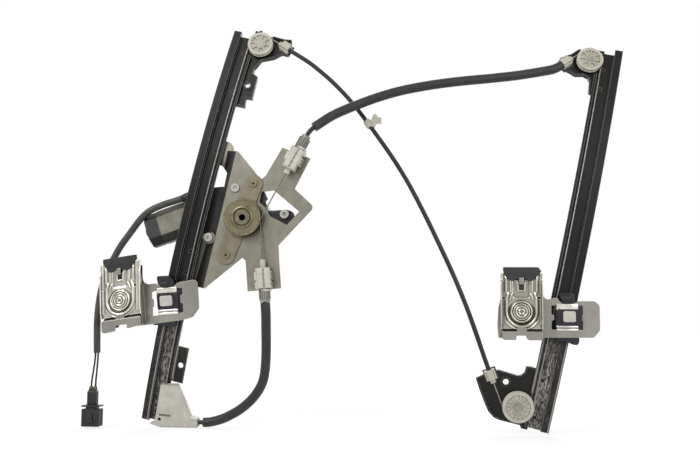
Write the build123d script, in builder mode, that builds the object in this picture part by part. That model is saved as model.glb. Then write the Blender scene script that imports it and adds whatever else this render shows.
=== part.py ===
"""Twin-rail, cable-driven window regulator with its motor.

The frame: +X to the right along the door, +Y from the front of the motor plate back to the motor, +Z up.
The origin is on the drum's axis, at the front face of the motor plate. All sizes are in millimetres.
Both rails lie on one cylinder. A place on it is given by how far it is along the rails, how far
across them, and its height in front of the rails' webs.
"""

from build123d import *
from math import atan2, cos, degrees, pi, radians, sin, tan
import os

# ---------------------------------------------------------------- driving dimensions
# Guide rails
RAIL_RADIUS = 1000.0
RAIL_LEAN = 12.9
RAIL_SETBACK = 8.0
RAIL_WIDTH = 28.0
RAIL_STEEL = 1.2
BEAD_WIDTH = 9.0
BEAD_HEIGHT = 5.5
BEAD_OVERRUN = 4.0
LIP_WIDTH = 3.0
LIP_HEIGHT = 2.4
LEFT_EDGE = -74.2
RIGHT_EDGE = 385.0
LEFT_BOTTOM = -256.0
LEFT_TOP = 221.0
RIGHT_BOTTOM = -158.0
RIGHT_TOP = 290.0

# Cable and pulleys
CABLE_DIAMETER = 1.5
CABLE_INSET = 22.0
CABLE_HEIGHT = 3.5
PULLEY_THICKNESS = 6.0
UPPER_GROOVE = 13.8
LOWER_GROOVE = 15.9
PULLEY_LIP = 1.4
GROOVE_GAP = 0.1
UPPER_HUB = 4.9
LOWER_HUB = 6.3
LEFT_UPPER_ALONG = 213.7
RIGHT_UPPER_ALONG = 275.1
RIGHT_LOWER_ALONG = -137.6
LEFT_EXIT_ANGLE = -22.0
RIGHT_EXIT_ANGLE = -132.0
LOWER_EXIT_ANGLE = 122.5

# Brackets and fixings
BRACKET_WALL = 2.5
RIM_WIDTH = 1.8
RIM_HEIGHT = 3.0
SEAT_GAP = 0.05
RIVET_RADIUS = 2.0
RIVET_HEAD = 3.2
FIXING_RADIUS = 3.2
FERRULE_LENGTH = 11.0
FERRULE_WIDTH = 12.0
FERRULE_HEIGHT = 8.0

# Casings and sleeves
CASING_DIAMETER = 5.2
SLEEVE_DIAMETER = 11.0
CASING_BORE_GAP = 0.05

# Motor plate
PLATE_STEEL = 1.5
BEND_ACROSS = -28.5
FLANGE_ACROSS = -44.0
STRAP_STEEL = 1.5
STRAP_WIDTH = 21.0

# Drum
DRUM_CABLE_RADIUS = 19.0
DRUM_RIM = 21.4
DRUM_BACK_RIM = 22.6
DRUM_DISH = 10.4
DRUM_HUB = 8.9
DRUM_FRONT = 13.0
DRUM_BACK = 2.3
DRUM_FLANGE = 1.6
DRUM_TURNS = 4
SHAFT_RADIUS = 5.0
WINDING_BORE = 3.9
RUNNING_GAP = 0.05

# Gearbox and motor
MOTOR_SLOPE = 19.0
WORM_DEPTH = 29.0
WHEEL_TEETH = 73
WHEEL_PITCH_RADIUS = 24.0
WORM_PITCH_RADIUS = 5.0
WHEEL_WIDTH = 8.0
HOUSING_WALL = 2.5
CAN_HEIGHT = 40.0
CAN_DEPTH = 30.0
CAN_BEVEL = 9.0
CAN_WALL = 1.8
CAN_START = 52.0
CAN_END = 103.0
CAP_END = 119.0
ARMATURE_RADIUS = 11.0

# Adjusters
UPPER_ADJUSTER_ANGLE = 61.0
LOWER_ADJUSTER_ANGLE = -85.5
UPPER_CABLE_FRONT = 9.0
LOWER_CABLE_FRONT = 5.2

# Glass carriers
CARRIER_BACK = 11.0
CARRIER_STEEL = 1.5
GLASS_GAP = 6.6
PAD_SHEET = 1.2
LEFT_CARRIER_ALONG = -111.6
RIGHT_CARRIER_ALONG = -28.4
LEFT_CARRIER_TURN = 16.8
RIGHT_CARRIER_TURN = 12.4
CARRIER_INSET = 4.7
SLIDE_GAP = 0.35

# ---------------------------------------------------------------- frame of the rails
ACROSS = Vector(cos(radians(RAIL_LEAN)), 0, -sin(radians(RAIL_LEAN)))
ALONG = Vector(sin(radians(RAIL_LEAN)), 0, cos(radians(RAIL_LEAN)))
BEND_CENTRE = Vector(0, RAIL_SETBACK + RAIL_RADIUS, 0)
BEND_AXIS = Axis(BEND_CENTRE, -ACROSS)
LEFT_CABLE = LEFT_EDGE + CABLE_INSET
RIGHT_CABLE = RIGHT_EDGE - CABLE_INSET
LEFT_UPPER_ACROSS = LEFT_CABLE + UPPER_GROOVE
RIGHT_UPPER_ACROSS = RIGHT_CABLE - UPPER_GROOVE
RIGHT_LOWER_ACROSS = RIGHT_CABLE - LOWER_GROOVE
PULLEY_BACK = CABLE_HEIGHT - PULLEY_THICKNESS / 2
PULLEY_FRONT = CABLE_HEIGHT + PULLEY_THICKNESS / 2


def on_rail(along, across=0.0, height=0.0, turn=0.0):
    """Plane on the rails' cylinder: X across the rails, Y up them, Z out to the front."""
    angle = along / RAIL_RADIUS
    outward = ALONG * sin(angle) - Vector(0, 1, 0) * cos(angle)
    upward = ALONG * cos(angle) + Vector(0, 1, 0) * sin(angle)
    sideways = ACROSS * cos(radians(turn)) + upward * sin(radians(turn))
    origin = BEND_CENTRE + ACROSS * across + outward * (RAIL_RADIUS + height)
    return Plane(origin=origin, x_dir=sideways, z_dir=outward)


def section_plane(along, across=0.0):
    """Plane square to the rails: X across, Y out to the front."""
    face = on_rail(along, across)
    return Plane(origin=face.origin, x_dir=face.x_dir, z_dir=-face.y_dir)


def arc_of(length):
    """Angle that a length along the rails takes on their cylinder."""
    return degrees(length / RAIL_RADIUS)


def curved_layer(bottom, top, low, high, near, far):
    """Piece of a shell between two heights over the rails' cylinder."""
    with BuildPart() as layer:
        with BuildSketch(section_plane(bottom)):
            with Locations(((near + far) / 2, (low + high) / 2)):
                Rectangle(abs(far - near), high - low)
        revolve(axis=BEND_AXIS, revolution_arc=arc_of(top - bottom))
    return layer.part


def mirrored(points, side):
    """The same outline for the left rail (side 1) or the right rail (side -1)."""
    return [(side * x, y) for x, y in points]


def rod(plane, radius, length, bore=0.0):
    """Round bar or tube that starts on a plane and runs along its normal."""
    with BuildPart() as bar:
        with BuildSketch(plane):
            Circle(radius)
            if bore:
                Circle(bore, mode=Mode.SUBTRACT)
        extrude(amount=length)
    return bar.part


def block(plane, left, right, bottom, top, length):
    """Rectangular block on a plane, given by its four edges there, running along the normal."""
    with BuildPart() as brick:
        with BuildSketch(plane):
            with Locations(((left + right) / 2, (bottom + top) / 2)):
                Rectangle(right - left, top - bottom)
        extrude(amount=length)
    return brick.part


def slab(plane, points, length):
    """Flat piece with a straight-sided outline on a plane, running along the normal."""
    with BuildPart() as sheet:
        with BuildSketch(plane):
            with BuildLine():
                Polyline(points, close=True)
            make_face()
        extrude(amount=length)
    return sheet.part


PIECES = []


def finish(part, label):
    """Label a finished piece and keep it for export."""
    part.label = label
    PIECES.append(part)
    return part


# ---------------------------------------------------------------- guide rails
WEB_END = RAIL_WIDTH - LIP_WIDTH
BODY_PROFILE = [
    (0, -RAIL_STEEL),
    (0, BEAD_HEIGHT),
    (BEAD_WIDTH, BEAD_HEIGHT),
    (BEAD_WIDTH, 0),
    (WEB_END + RAIL_STEEL, 0),
    (WEB_END + RAIL_STEEL, -RAIL_STEEL),
    (BEAD_WIDTH - RAIL_STEEL, -RAIL_STEEL),
    (BEAD_WIDTH - RAIL_STEEL, BEAD_HEIGHT - RAIL_STEEL),
    (RAIL_STEEL, BEAD_HEIGHT - RAIL_STEEL),
    (RAIL_STEEL, -RAIL_STEEL),
]
BEAD_PROFILE = [
    (0, -RAIL_STEEL),
    (0, BEAD_HEIGHT),
    (BEAD_WIDTH, BEAD_HEIGHT),
    (BEAD_WIDTH, -RAIL_STEEL),
    (BEAD_WIDTH - RAIL_STEEL, -RAIL_STEEL),
    (BEAD_WIDTH - RAIL_STEEL, BEAD_HEIGHT - RAIL_STEEL),
    (RAIL_STEEL, BEAD_HEIGHT - RAIL_STEEL),
    (RAIL_STEEL, -RAIL_STEEL),
]
LIP_PROFILE = [
    (WEB_END, -RAIL_STEEL),
    (WEB_END, LIP_HEIGHT),
    (RAIL_WIDTH, LIP_HEIGHT),
    (RAIL_WIDTH, LIP_HEIGHT - RAIL_STEEL),
    (WEB_END + RAIL_STEEL, LIP_HEIGHT - RAIL_STEEL),
    (WEB_END + RAIL_STEEL, -RAIL_STEEL),
]
RIVET_INSET = CABLE_INSET - 4.0


def guide_rail(label, edge, side, bottom, top, lip_bottom, lip_top, rivets, lugs):
    """Rolled rail: outer bead, web and inner lip, bent to the rails' radius."""
    with BuildPart() as rail:
        runs = (
            (BODY_PROFILE, bottom, top - bottom),
            (BEAD_PROFILE, top, BEAD_OVERRUN),
            (LIP_PROFILE, lip_bottom, lip_top - lip_bottom),
        )
        for profile, start, length in runs:
            with BuildSketch(section_plane(start, edge)):
                with BuildLine():
                    Polyline(mirrored(profile, side), close=True)
                make_face()
            revolve(axis=BEND_AXIS, revolution_arc=arc_of(length))
        for low, high, near, far, hole_along, hole_across in lugs:
            add(curved_layer(low, high, -RAIL_STEEL - LUG_STEEL, -RAIL_STEEL, near, far))
            with BuildSketch(on_rail(hole_along, hole_across, 4)):
                Circle(FIXING_RADIUS)
            extrude(amount=-10, mode=Mode.SUBTRACT)
        for along, inset in rivets:
            with BuildSketch(on_rail(along, edge + side * inset, 2)):
                Circle(RIVET_RADIUS + SEAT_GAP)
            extrude(amount=-6, mode=Mode.SUBTRACT)
    return finish(rail.part, label)


LUG_STEEL = 2.4
LEFT_BRACKET_RIVETS = ((LEFT_UPPER_ALONG - 14, RIVET_INSET), (LEFT_UPPER_ALONG - 66, RIVET_INSET))
RIGHT_BRACKET_RIVETS = ((RIGHT_UPPER_ALONG - 8, RIVET_INSET), (RIGHT_UPPER_ALONG - 34, RIVET_INSET))
LOWER_BRACKET_RIVETS = ((RIGHT_LOWER_ALONG + 34, RIVET_INSET), (RIGHT_LOWER_ALONG - 8, RIVET_INSET))
PLATE_RIVETS = ((71.0, RIVET_INSET), (-50.0, RIVET_INSET), (-76.0, RIVET_INSET))
GUIDE_RIVETS = ((LEFT_BOTTOM + 6.0, CABLE_INSET + 0.7),)
LEFT_LUG = (-205.0, -162.0, -58.0, -34.5, -184.0, -40.5)
PULLEY_ROOM = 2.5
left_guide_rail = guide_rail(
    "left_guide_rail", LEFT_EDGE, 1, LEFT_BOTTOM, LEFT_TOP,
    LEFT_BOTTOM + 56, LEFT_UPPER_ALONG - UPPER_GROOVE - PULLEY_ROOM,
    LEFT_BRACKET_RIVETS + PLATE_RIVETS + GUIDE_RIVETS, (LEFT_LUG,))
right_guide_rail = guide_rail(
    "right_guide_rail", RIGHT_EDGE, -1, RIGHT_BOTTOM, RIGHT_TOP,
    RIGHT_LOWER_ALONG + LOWER_GROOVE + PULLEY_ROOM, RIGHT_UPPER_ALONG - UPPER_GROOVE - PULLEY_ROOM,
    RIGHT_BRACKET_RIVETS + LOWER_BRACKET_RIVETS, ())


# ---------------------------------------------------------------- pulleys and their pins
PIN_RADIUS = 3.0
PIN_HEAD = 1.0
POCKET_COUNT = 8


def pulley(label, along, across, groove, hub):
    """Nylon cable pulley: V groove round the rim, eight pockets between its ribs."""
    rim = groove + PULLEY_LIP
    floor = groove - CABLE_DIAMETER / 2 - GROOVE_GAP
    half = PULLEY_THICKNESS / 2
    axis_plane = on_rail(along, across, CABLE_HEIGHT)
    profile_plane = Plane(origin=axis_plane.origin, x_dir=axis_plane.x_dir, z_dir=-axis_plane.y_dir)
    with BuildPart() as wheel:
        with BuildSketch(profile_plane):
            with BuildLine():
                Polyline(
                    (PIN_RADIUS + RUNNING_GAP, -half),
                    (rim, -half),
                    (rim, -half + 0.8),
                    (floor, -CABLE_DIAMETER / 2),
                    (floor, CABLE_DIAMETER / 2),
                    (rim, half - 0.8),
                    (rim, half),
                    (PIN_RADIUS + RUNNING_GAP, half),
                    close=True,
                )
            make_face()
        revolve(axis=Axis(axis_plane.origin, axis_plane.z_dir))
        with BuildSketch(axis_plane.offset(half)):
            Circle(floor - 1.4)
            Circle(hub + 1.4, mode=Mode.SUBTRACT)
            with PolarLocations(0, POCKET_COUNT):
                with Locations((groove / 2 + hub / 2, 0)):
                    Rectangle(groove, 1.6, mode=Mode.SUBTRACT)
        extrude(amount=-1.3, mode=Mode.SUBTRACT)
        with BuildSketch(axis_plane.offset(half)):
            Circle(hub + 0.1)
        extrude(amount=-0.8, mode=Mode.SUBTRACT)
    return finish(wheel.part, label)


left_upper_pulley = pulley("left_upper_pulley", LEFT_UPPER_ALONG, LEFT_UPPER_ACROSS, UPPER_GROOVE, UPPER_HUB)
right_upper_pulley = pulley("right_upper_pulley", RIGHT_UPPER_ALONG, RIGHT_UPPER_ACROSS, UPPER_GROOVE, UPPER_HUB)
right_lower_pulley = pulley("right_lower_pulley", RIGHT_LOWER_ALONG, RIGHT_LOWER_ACROSS, LOWER_GROOVE, LOWER_HUB)

PULLEY_SITES = (
    (LEFT_UPPER_ALONG, LEFT_UPPER_ACROSS, UPPER_HUB),
    (RIGHT_UPPER_ALONG, RIGHT_UPPER_ACROSS, UPPER_HUB),
    (RIGHT_LOWER_ALONG, RIGHT_LOWER_ACROSS, LOWER_HUB),
)
BRACKET_FRONT = -RAIL_STEEL - SEAT_GAP
BRACKET_BACK = BRACKET_FRONT - BRACKET_WALL
with BuildPart() as pulley_pins:
    for along, across, hub in PULLEY_SITES:
        with BuildSketch(on_rail(along, across, BRACKET_BACK - 0.6)):
            Circle(PIN_RADIUS)
        extrude(amount=PULLEY_FRONT - 0.7 - BRACKET_BACK + 0.6)
        with BuildSketch(on_rail(along, across, PULLEY_FRONT - 0.7)):
            Circle(hub)
        extrude(amount=PIN_HEAD)
finish(pulley_pins.part, "pulley_pins")

# ---------------------------------------------------------------- pulley brackets
LEFT_UPPER_OUTLINE = [
    (-20.5, -82), (3, -82), (1.6, -70.6), (8.8, -70.3), (7.8, -41.7), (1, -38.4), (1, -32.2), (6.4, -19.2),
    (20.5, -13), (27.9, -6), (37, -5), (39, 5), (35, 15.5), (26.7, 14.2), (12, 15.5), (-3.5, 15.5), (-3.5, 20),
    (-12.5, 20), (-12.5, 8), (-20.5, 4),
]
RIGHT_UPPER_OUTLINE = [
    (-20.5, -42), (-6, -42), (-4.5, -38), (-3.5, -26), (-1.5, -22), (4, -20), (13, -22), (20, -19),
    (34, -14), (34, -3), (22, 5), (14, 14), (4, 15.5), (-6.6, 15.5), (-6.6, 19), (-15.9, 19), (-15.9, 7), (-20.5, 7),
]
RIGHT_LOWER_OUTLINE = [
    (-22.5, -19), (-15.7, -19), (-15.3, -23.5), (-8.6, -23.5), (-6.1, -19.7), (16.1, -19.5), (23.2, -18.2),
    (30.4, -13), (36.4, -4.8), (45.6, 9.5), (51.6, 19.9), (44.6, 25.4), (29.5, 34.7), (8, 33.3), (4.1, 34.7),
    (1, 38.5), (0.5, 45.5), (-4.5, 46.2), (-22.5, 44),
]
def tangent_frame(along, across, groove, angle, side_of_pulley, height=CABLE_HEIGHT):
    """Plane where the cable leaves a pulley: X along the cable, away from the pulley."""
    seat = on_rail(along, across, height)
    turn = radians(angle)
    foot = Vector(-sin(turn), cos(turn)) * groove * side_of_pulley
    origin = seat.origin + seat.x_dir * foot.X + seat.y_dir * foot.Y
    return Plane(origin=origin, x_dir=seat.x_dir * cos(turn) + seat.y_dir * sin(turn), z_dir=seat.z_dir)


def along_cable(frame, distance):
    """Plane square to a cable that leaves a frame along its X direction."""
    return Plane(origin=frame.origin + frame.x_dir * distance, x_dir=frame.y_dir, z_dir=frame.x_dir)


LEFT_EXIT = tangent_frame(LEFT_UPPER_ALONG, LEFT_UPPER_ACROSS, UPPER_GROOVE, LEFT_EXIT_ANGLE, 1)
RIGHT_EXIT = tangent_frame(RIGHT_UPPER_ALONG, RIGHT_UPPER_ACROSS, UPPER_GROOVE, RIGHT_EXIT_ANGLE, -1)
LOWER_EXIT = tangent_frame(RIGHT_LOWER_ALONG, RIGHT_LOWER_ACROSS, LOWER_GROOVE, LOWER_EXIT_ANGLE, 1)
LEFT_FERRULE_AT = 23.0
RIGHT_FERRULE_AT = 20.0
LOWER_FERRULE_AT = 38.0


def pulley_bracket(label, along, across, side, outline, rivets, edge, fixing, exit_frame, ferrule_at, rim_from):
    """Pressed bracket behind the rail: pulley seat, raised rim, fixing boss and ferrule seat."""
    seat = on_rail(along, across)
    low = along + min(y for x, y in outline) - 5
    high = along + max(y for x, y in outline) + 5
    spread = max(abs(x) for x, y in outline) + 5
    boss_from, boss_to = fixing[2], fixing[3]
    fixing_seat = on_rail(along + fixing[1], across + side * fixing[0])
    with BuildPart() as pocket:
        with BuildSketch(seat.offset(-16)):
            with BuildLine():
                Polyline(mirrored(outline, side), close=True)
            make_face()
            offset(amount=-RIM_WIDTH, mode=Mode.REPLACE)
            with Locations((side * (rim_from - 100), 0)):
                Rectangle(200, 400)
            Circle(UPPER_GROOVE + PULLEY_LIP + 3.5)
        extrude(amount=30)
        add(curved_layer(low, high, BRACKET_FRONT, BRACKET_FRONT + RIM_HEIGHT + 1,
                         across - 99, across + 99), mode=Mode.INTERSECT)
    with BuildPart() as bracket:
        with BuildSketch(seat.offset(-16)):
            with BuildLine():
                Polyline(mirrored(outline, side), close=True)
            make_face()
        extrude(amount=30)
        add(curved_layer(low, high, BRACKET_BACK, BRACKET_FRONT + RIM_HEIGHT,
                         across - spread, across + spread), mode=Mode.INTERSECT)
        add(pocket.part, mode=Mode.SUBTRACT)
        with BuildSketch(seat.offset(BRACKET_FRONT - 1)):
            Circle(PIN_RADIUS + 3.2)
        extrude(amount=PULLEY_BACK - 0.1 - BRACKET_FRONT + 1)
        with BuildSketch(fixing_seat.offset(boss_from)):
            Circle(FIXING_RADIUS + 2.4)
        extrude(amount=boss_to - boss_from)
        with BuildSketch(exit_frame.offset(BRACKET_FRONT - CABLE_HEIGHT - 1.5)):
            with Locations((ferrule_at + FERRULE_LENGTH / 2, 0)):
                Rectangle(FERRULE_LENGTH + 2, FERRULE_WIDTH + 3)
        extrude(amount=1.5 + CABLE_HEIGHT - FERRULE_HEIGHT / 2 - BRACKET_FRONT - SEAT_GAP)
        ferrule_seat = exit_frame.offset(-FERRULE_HEIGHT / 2 - SEAT_GAP)
        with BuildSketch(ferrule_seat):
            with Locations((ferrule_at + FERRULE_LENGTH / 2, 0)):
                Rectangle(FERRULE_LENGTH + 2 * SEAT_GAP, FERRULE_WIDTH + 2 * SEAT_GAP)
        extrude(amount=20, mode=Mode.SUBTRACT)
        add(rod(along_cable(exit_frame, ferrule_at - 4.2), 3.5, 6), mode=Mode.SUBTRACT)
        add(rod(along_cable(exit_frame, ferrule_at + FERRULE_LENGTH - 0.2), SLEEVE_DIAMETER / 2 + 0.3, 30),
            mode=Mode.SUBTRACT)
        with BuildSketch(seat.offset(8)):
            Circle(PIN_RADIUS + SEAT_GAP)
        extrude(amount=-20, mode=Mode.SUBTRACT)
        with BuildSketch(fixing_seat.offset(8)):
            Circle(FIXING_RADIUS)
        extrude(amount=-25, mode=Mode.SUBTRACT)
        for place, inset in rivets:
            with BuildSketch(on_rail(place, edge + side * inset, 2)):
                Circle(RIVET_RADIUS + SEAT_GAP)
            extrude(amount=-10, mode=Mode.SUBTRACT)
    return finish(bracket.part, label)


LEFT_UPPER_FIXING = (-1.6, -54.0, BRACKET_FRONT - 1, 0.5)
RIGHT_UPPER_FIXING = (-14.5, -22.0, BRACKET_BACK - 6, BRACKET_FRONT)
RIGHT_LOWER_FIXING = (18.6, 23.4, BRACKET_FRONT - 1, 0.5)
left_upper_bracket = pulley_bracket(
    "left_upper_bracket", LEFT_UPPER_ALONG, LEFT_UPPER_ACROSS, 1, LEFT_UPPER_OUTLINE,
    LEFT_BRACKET_RIVETS, LEFT_EDGE, LEFT_UPPER_FIXING, LEFT_EXIT, LEFT_FERRULE_AT, -6.5)
right_upper_bracket = pulley_bracket(
    "right_upper_bracket", RIGHT_UPPER_ALONG, RIGHT_UPPER_ACROSS, -1, RIGHT_UPPER_OUTLINE,
    RIGHT_BRACKET_RIVETS, RIGHT_EDGE, RIGHT_UPPER_FIXING, RIGHT_EXIT, RIGHT_FERRULE_AT, -6.5)
right_lower_bracket = pulley_bracket(
    "right_lower_bracket", RIGHT_LOWER_ALONG, RIGHT_LOWER_ACROSS, -1, RIGHT_LOWER_OUTLINE,
    LOWER_BRACKET_RIVETS, RIGHT_EDGE, RIGHT_LOWER_FIXING, LOWER_EXIT, LOWER_FERRULE_AT, -8.6)

# ---------------------------------------------------------------- ferrules at the pulleys
CABLE_BORE = CABLE_DIAMETER / 2 + 0.3
SOCKET_DEPTH = 6.0
FERRULES = ((LEFT_EXIT, LEFT_FERRULE_AT), (RIGHT_EXIT, RIGHT_FERRULE_AT), (LOWER_EXIT, LOWER_FERRULE_AT))


with BuildPart() as casing_ferrules:
    for frame, start in FERRULES:
        with BuildSketch(along_cable(frame, start)):
            Rectangle(FERRULE_WIDTH, FERRULE_HEIGHT)
            with Locations((0, FERRULE_HEIGHT / 2)):
                Rectangle(FERRULE_WIDTH - 5, 3)
        extrude(amount=FERRULE_LENGTH)
        with BuildSketch(along_cable(frame, start - 4)):
            Circle(3.2)
        extrude(amount=5)
        with BuildSketch(along_cable(frame, start - 5)):
            Circle(CABLE_BORE)
        extrude(amount=FERRULE_LENGTH + 6, mode=Mode.SUBTRACT)
        with BuildSketch(along_cable(frame, start + FERRULE_LENGTH - SOCKET_DEPTH)):
            Circle(CASING_DIAMETER / 2 + SEAT_GAP)
        extrude(amount=SOCKET_DEPTH + 1, mode=Mode.SUBTRACT)
finish(casing_ferrules.part, "casing_ferrules")

# ---------------------------------------------------------------- lower cable guide of the left rail
GUIDE_HEIGHT = 9.0
GUIDE_BEND = 20.0
GUIDE_BEND_ALONG = -229.7
GUIDE_TURN = 103.0
GUIDE_RUN = 21.0
GUIDE_OUTLINE = [
    (-56.5, -209), (-38, -205.3), (-27.3, -220.6), (-15.9, -239.1), (-7.1, -239.4), (-5.0, -249.0),
    (-47.6, -259.4), (-62.4, -258.8), (-56.8, -256.2), (-56.5, -245.6),
]
GUIDE_SEAT = on_rail(GUIDE_BEND_ALONG, LEFT_CABLE + GUIDE_BEND, CABLE_HEIGHT)
NOZZLE_ANGLE = GUIDE_TURN - 90
NOZZLE = on_rail(GUIDE_BEND_ALONG, LEFT_CABLE + GUIDE_BEND, CABLE_HEIGHT, NOZZLE_ANGLE)
NOZZLE = Plane(origin=NOZZLE.origin - NOZZLE.y_dir * GUIDE_BEND, x_dir=NOZZLE.x_dir, z_dir=NOZZLE.z_dir)


def guide_strand(radius, lead, run):
    """Round bar that follows the cable through the lower guide."""
    start = GUIDE_SEAT.origin - GUIDE_SEAT.x_dir * GUIDE_BEND
    with BuildPart() as bar:
        with BuildSketch(Plane(origin=start, x_dir=GUIDE_SEAT.x_dir, z_dir=-GUIDE_SEAT.y_dir)):
            Circle(radius)
        revolve(axis=Axis(GUIDE_SEAT.origin, GUIDE_SEAT.z_dir), revolution_arc=GUIDE_TURN)
        with BuildSketch(along_cable(NOZZLE, 0)):
            Circle(radius)
        extrude(amount=run)
        with BuildSketch(section_plane(GUIDE_BEND_ALONG, LEFT_CABLE)):
            with Locations((0, CABLE_HEIGHT)):
                Circle(radius)
        revolve(axis=BEND_AXIS, revolution_arc=arc_of(lead))
    return bar.part


with BuildPart() as left_lower_cable_guide:
    with BuildSketch(Plane(origin=GUIDE_SEAT.origin, x_dir=ACROSS, z_dir=GUIDE_SEAT.z_dir)):
        with BuildLine():
            Polyline([(w - LEFT_CABLE - GUIDE_BEND, s - GUIDE_BEND_ALONG) for w, s in GUIDE_OUTLINE], close=True)
        make_face()
    extrude(amount=12, both=True)
    add(curved_layer(-262, -203, SEAT_GAP, GUIDE_HEIGHT, -64, -3), mode=Mode.INTERSECT)
    with BuildSketch(along_cable(NOZZLE, GUIDE_RUN - 3)):
        Circle(4.6)
    extrude(amount=5)
    add(guide_strand(CABLE_BORE, 30, GUIDE_RUN + 5), mode=Mode.SUBTRACT)
    with BuildSketch(on_rail(LEFT_BOTTOM + 6, LEFT_EDGE + CABLE_INSET + 0.7, 12)):
        Circle(RIVET_RADIUS + SEAT_GAP)
    extrude(amount=-14, mode=Mode.SUBTRACT)
    with BuildSketch(on_rail(-243.7, -45.6, 12, 8)):
        Rectangle(14, 2.6)
    extrude(amount=-5, mode=Mode.SUBTRACT)
finish(left_lower_cable_guide.part, "left_lower_cable_guide")


# ---------------------------------------------------------------- rivets of the rails
FLUSH = -0.05


def flush_rivet(along, across, front, back):
    """Rivet set flush in the front sheet, with its head behind the back one."""
    with BuildPart() as rivet:
        add(rod(on_rail(along, across, front), RIVET_RADIUS, back - front))
        add(rod(on_rail(along, across, back - SEAT_GAP), RIVET_HEAD, -1.2))
    return rivet.part


with BuildPart() as bracket_rivets:
    for along, inset in LEFT_BRACKET_RIVETS:
        add(flush_rivet(along, LEFT_EDGE + inset, FLUSH, BRACKET_BACK))
    for along, inset in RIGHT_BRACKET_RIVETS + LOWER_BRACKET_RIVETS:
        add(flush_rivet(along, RIGHT_EDGE - inset, FLUSH, BRACKET_BACK))
    for along, inset in GUIDE_RIVETS:
        add(flush_rivet(along, LEFT_EDGE + inset, GUIDE_HEIGHT - 0.1, -RAIL_STEEL))
finish(bracket_rivets.part, "bracket_rivets")

# ---------------------------------------------------------------- motor plate
FRONT = Plane(origin=(0, 0, 0), x_dir=(1, 0, 0), z_dir=(0, -1, 0))
TILTED_FRONT = Plane(origin=(0, 0, 0), x_dir=ACROSS, z_dir=(0, -1, 0))
PLATE_OUTLINE = [
    (-9, 79.5), (15.5, 49.5), (19.9, 46.2), (24.0, 49.5), (43.6, 82.3), (76.4, 69.0), (58.4, 33.8), (78.4, 15.0),
    (79.4, 12.0), (78.4, 9.2), (40.1, -31.2), (41, -48.2), (43.6, -80.4), (4.9, -83.9), (2, -48.8), (-1.8, -45.1),
    (-45.6, -80),
]
CUT_OUT = [(19.7, 31.0), (34.4, 32.3), (63.6, 7.4), (49.9, -8.0), (30.0, 2.5), (24.5, 12.0), (17.3, 19.0)]
SLOPE_OPENING = [(-48, 57), (-43, 55.4), (-34.6, 48.4), (-31, -21.5), (-42, -27), (-48, -27)]
SLOPE_SECTION = [(-28.5, 0), (-46.5, 15.6), (-45.5, 16.7), (-28, 1.5), (-26.5, 1.5), (-26.5, 0)]
SLOPE_BOTTOM = -88.6
SLOPE_TOP = 75.0
FLANGE_HEIGHT = -RAIL_STEEL - SEAT_GAP
PLATE_SCREWS = [(-11.4, 36.1), (-42.2, -21.3)]
SCREW_PAD = PLATE_SCREWS[1]
PAD_RADIUS = 7.5
SCREW_HEAD = 5.0
SCREW_HEAD_HEIGHT = 1.8
EAR_SCREW = (46.7, 4.5)
STRAP_HOLES = [(10.6, 40.5), (-20.7, -42.3)]
SCREW_RADIUS = 2.5
SHAFT_NOSE = 9.0
LOBE = (75.7, -45.6)
FLANGE_EDGE = -60.5
UPPER_SLOT = (60.0, 70.0)
LOWER_SLOT = (24.9, -70.0)
CLIP_WIDTH = 8.0
CLIP_DEPTH = 4.0

with BuildPart() as flange:
    add(block(TILTED_FRONT.offset(5), FLANGE_EDGE, -38, SLOPE_BOTTOM, SLOPE_TOP, -30))
    lobe_seat = on_rail(LOBE[0], LOBE[1], 5)
    add(rod(lobe_seat, 10.5, -30))
    add(curved_layer(-95, 95, FLANGE_HEIGHT - PLATE_STEEL, FLANGE_HEIGHT, -75, -20), mode=Mode.INTERSECT)
with BuildPart() as slope:
    add(slab(Plane(origin=ALONG * SLOPE_BOTTOM, x_dir=ACROSS, z_dir=ALONG), SLOPE_SECTION, SLOPE_TOP - SLOPE_BOTTOM))
    pad_seat = Plane(origin=(SCREW_PAD[0], 0, SCREW_PAD[1]), x_dir=(1, 0, 0), z_dir=(0, 1, 0))
    add(rod(pad_seat, PAD_RADIUS, 12))
    add(curved_layer(-110, 110, FLANGE_HEIGHT - PLATE_STEEL, 40, -75, -20), mode=Mode.INTERSECT)
    add(rod(pad_seat.offset(PLATE_STEEL), PAD_RADIUS - PLATE_STEEL, 20), mode=Mode.SUBTRACT)
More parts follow.
